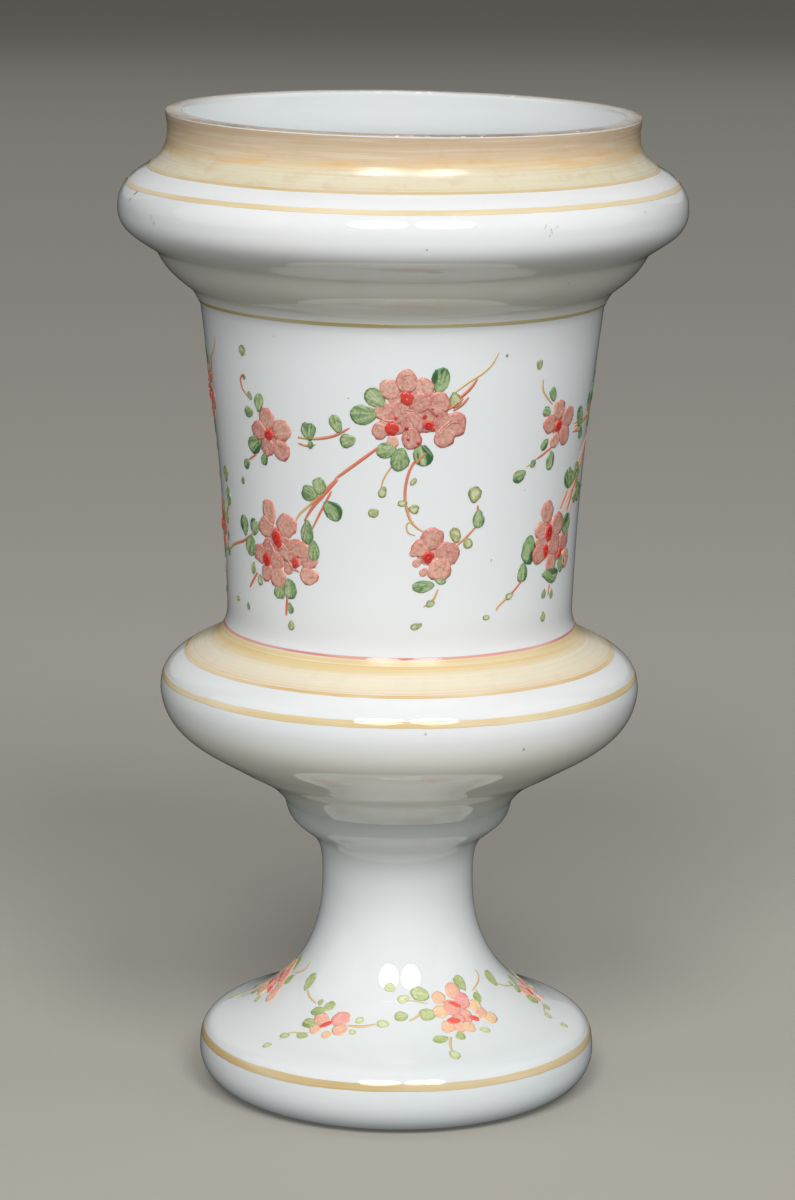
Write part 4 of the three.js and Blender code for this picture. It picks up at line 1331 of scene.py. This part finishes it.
# Marks of age: smudges, small chips and kiln specks. Placed ones: angle, height, length, width,
# turn, and tone from brown 0 to grey 1.
marks = {
    "placed": [
        (-69.4, 258.3, 2.4, 0.7, 40, 0.2), (-70.8, 256.2, 1.6, 0.5, 60, 0.3),
        (-58.6, 253.5, 1.5, 0.4, 110, 0.6), (-57.4, 252.0, 1.3, 0.4, 95, 0.5),
        (-60.0, 249.0, 1.0, 0.4, 80, 0.7), (28.2, 255.2, 1.5, 0.3, 60, 0.7),
        (29.4, 254.0, 1.7, 0.3, 100, 0.8), (30.7, 255.0, 1.3, 0.26, 40, 0.7),
        (29.0, 252.8, 1.0, 0.24, 90, 0.7), (4.5, 250.0, 0.6, 0.6, 0, 0.4),
        (30.7, 217.8, 1.0, 0.8, 60, 0.0), (-15.8, 129.2, 1.8, 0.5, 15, 0.0),
        (6.0, 118.2, 0.9, 0.8, 0, 0.9), (30.4, 111.9, 0.7, 0.9, 0, 0.3), (20.9, 275.8, 1.1, 0.5, 20, 0.1),
        (-40.2, 266.4, 0.9, 0.4, 200, 0.2),
    ],
    "specks": 70,
    "footSpecks": 23,
    "speckSize": (0.25, 0.55),
    "speckWidth": 0.8,  # share of its length
    "speckTones": (0, 0.8),
    "speckHeights": (98, 262),
    "speckReach": (23, 54),  # on the foot, from the axis
    "lift": -0.12,
    "seed": 11,
}


def addMarks():
    chance = random.Random(marks["seed"])
    bm = begin()
    placed = list(marks["placed"])
    for i in range(marks["specks"]):
        size = chance.uniform(*marks["speckSize"])
        height = chance.uniform(*marks["speckHeights"])
        angle = chance.uniform(-180, 180)
        tone = chance.uniform(*marks["speckTones"])
        placed.append((angle, height, size, size * marks["speckWidth"], 0, tone))
    for angle, height, length, width, turn, tone in placed:
        place, size = (angle, height), (length, width)
        layDab(bm, bowlWall, "petal", place, size, turn, tone, marks["lift"], 0, chance)
    for i in range(marks["footSpecks"]):
        size = chance.uniform(*marks["speckSize"])
        place = onFoot((chance.uniform(-180, 180), chance.uniform(*marks["speckReach"])))
        layDab(bm, footWall, "petal", place, (size, size), 0, chance.random(), marks["lift"], 0, chance)
    addPiece("marks", bm, ["stain"], sharpAbove=180)
    print("marks laid:", len(placed))


# Studio: a plain pale floor in a dim room, two round soft lamps above the camera, and weaker ones at
# the sides, behind and low down
studio = {
    "floor": (178, 174, 164),
    "floorPale": (190, 190, 188),
    "floorGrain": 0.06,
    "floorReach": 40,  # m
    "room": (0.195, 0.2, 0.199),
    "lampAims": [(-11.3, 40), (19.3, 40)],  # degrees to the right and up
    "lampDistance": 2.6,
    "lampSize": (0.94, 1.06),
    "lampPower": 31.5,
    "fillAims": [(-80, 28), (84, 28)],
    "fillDistance": 3.2,
    "fillSize": (3.2, 3.2),
    "fillPower": 9.5,
    "rearAims": [(160, 30), (200, 30)],
    "rearDistance": 3.2,
    "rearSize": (3.2, 3.2),
    "rearPower": 6,
    "bounceAims": [(0, -25), (180, -25)],  # low, as light sent back by the table
    "bounceDistance": 1.6,
    "bounceSize": (1.6, 0.8),
    "bouncePower": 3.8,
    "aim": (0, 0, 0.15),
}


def addLamp(kind, right, up):
    away = Vector((math.sin(right) * math.cos(up), -math.cos(right) * math.cos(up), math.sin(up)))
    data = bpy.data.lights.new(kind, "AREA")
    data.shape = "ELLIPSE"
    data.size, data.size_y = studio[kind + "Size"]
    data.energy = studio[kind + "Power"]
    lamp = bpy.data.objects.new(kind, data)
    lamp.location = Vector(studio["aim"]) + away * studio[kind + "Distance"]
    lamp.rotation_mode = "QUATERNION"
    lamp.rotation_quaternion = away.to_track_quat("Z", "Y")
    lamp.visible_camera = False
    lamp.visible_glossy = kind != "bounce"
    bpy.context.scene.collection.objects.link(lamp)


def addStudio():
    bm = bmesh.new()
    bmesh.ops.create_grid(bm, x_segments=1, y_segments=1, size=studio["floorReach"])
    mesh = bpy.data.meshes.new("floor")
    bm.to_mesh(mesh)
    bm.free()
    floor = bpy.data.objects.new("floor", mesh)
    floor.visible_glossy = False  # the glass neither mirrors the floor nor gathers its light
    floor.visible_diffuse = False
    floor.visible_shadow = False  # so the bounce lamps reach up through it
    bpy.context.scene.collection.objects.link(floor)
    f = Finish("paleFloor", Roughness=0.7)
    grain = f.noise(f.place(), 40.0, 4.0)
    shade = f.tint(grain * studio["floorGrain"], rgb(*studio["floor"]), studio["floorPale"])
    f.give(Base_Color=shade)
    mesh.materials.append(f.material)
    for kind in ("lamp", "fill", "rear", "bounce"):
        for right, up in studio[kind + "Aims"]:
            addLamp(kind, math.radians(right), math.radians(up))
    world = bpy.data.worlds.new("studioRoom")
    world.use_nodes = True
    world.node_tree.nodes["Background"].inputs["Color"].default_value = (*studio["room"], 1)
    world.cycles_visibility.glossy = False  # the lamps alone mirror in the glass
    bpy.context.scene.world = world
    bpy.context.scene.view_settings.view_transform = "Standard"
    print("studio set")


addCamera()
addStudio()
addGlass()
addCoats()
for title, around in sprayRounds.items():
    addSprays(title, around)
addMarks()
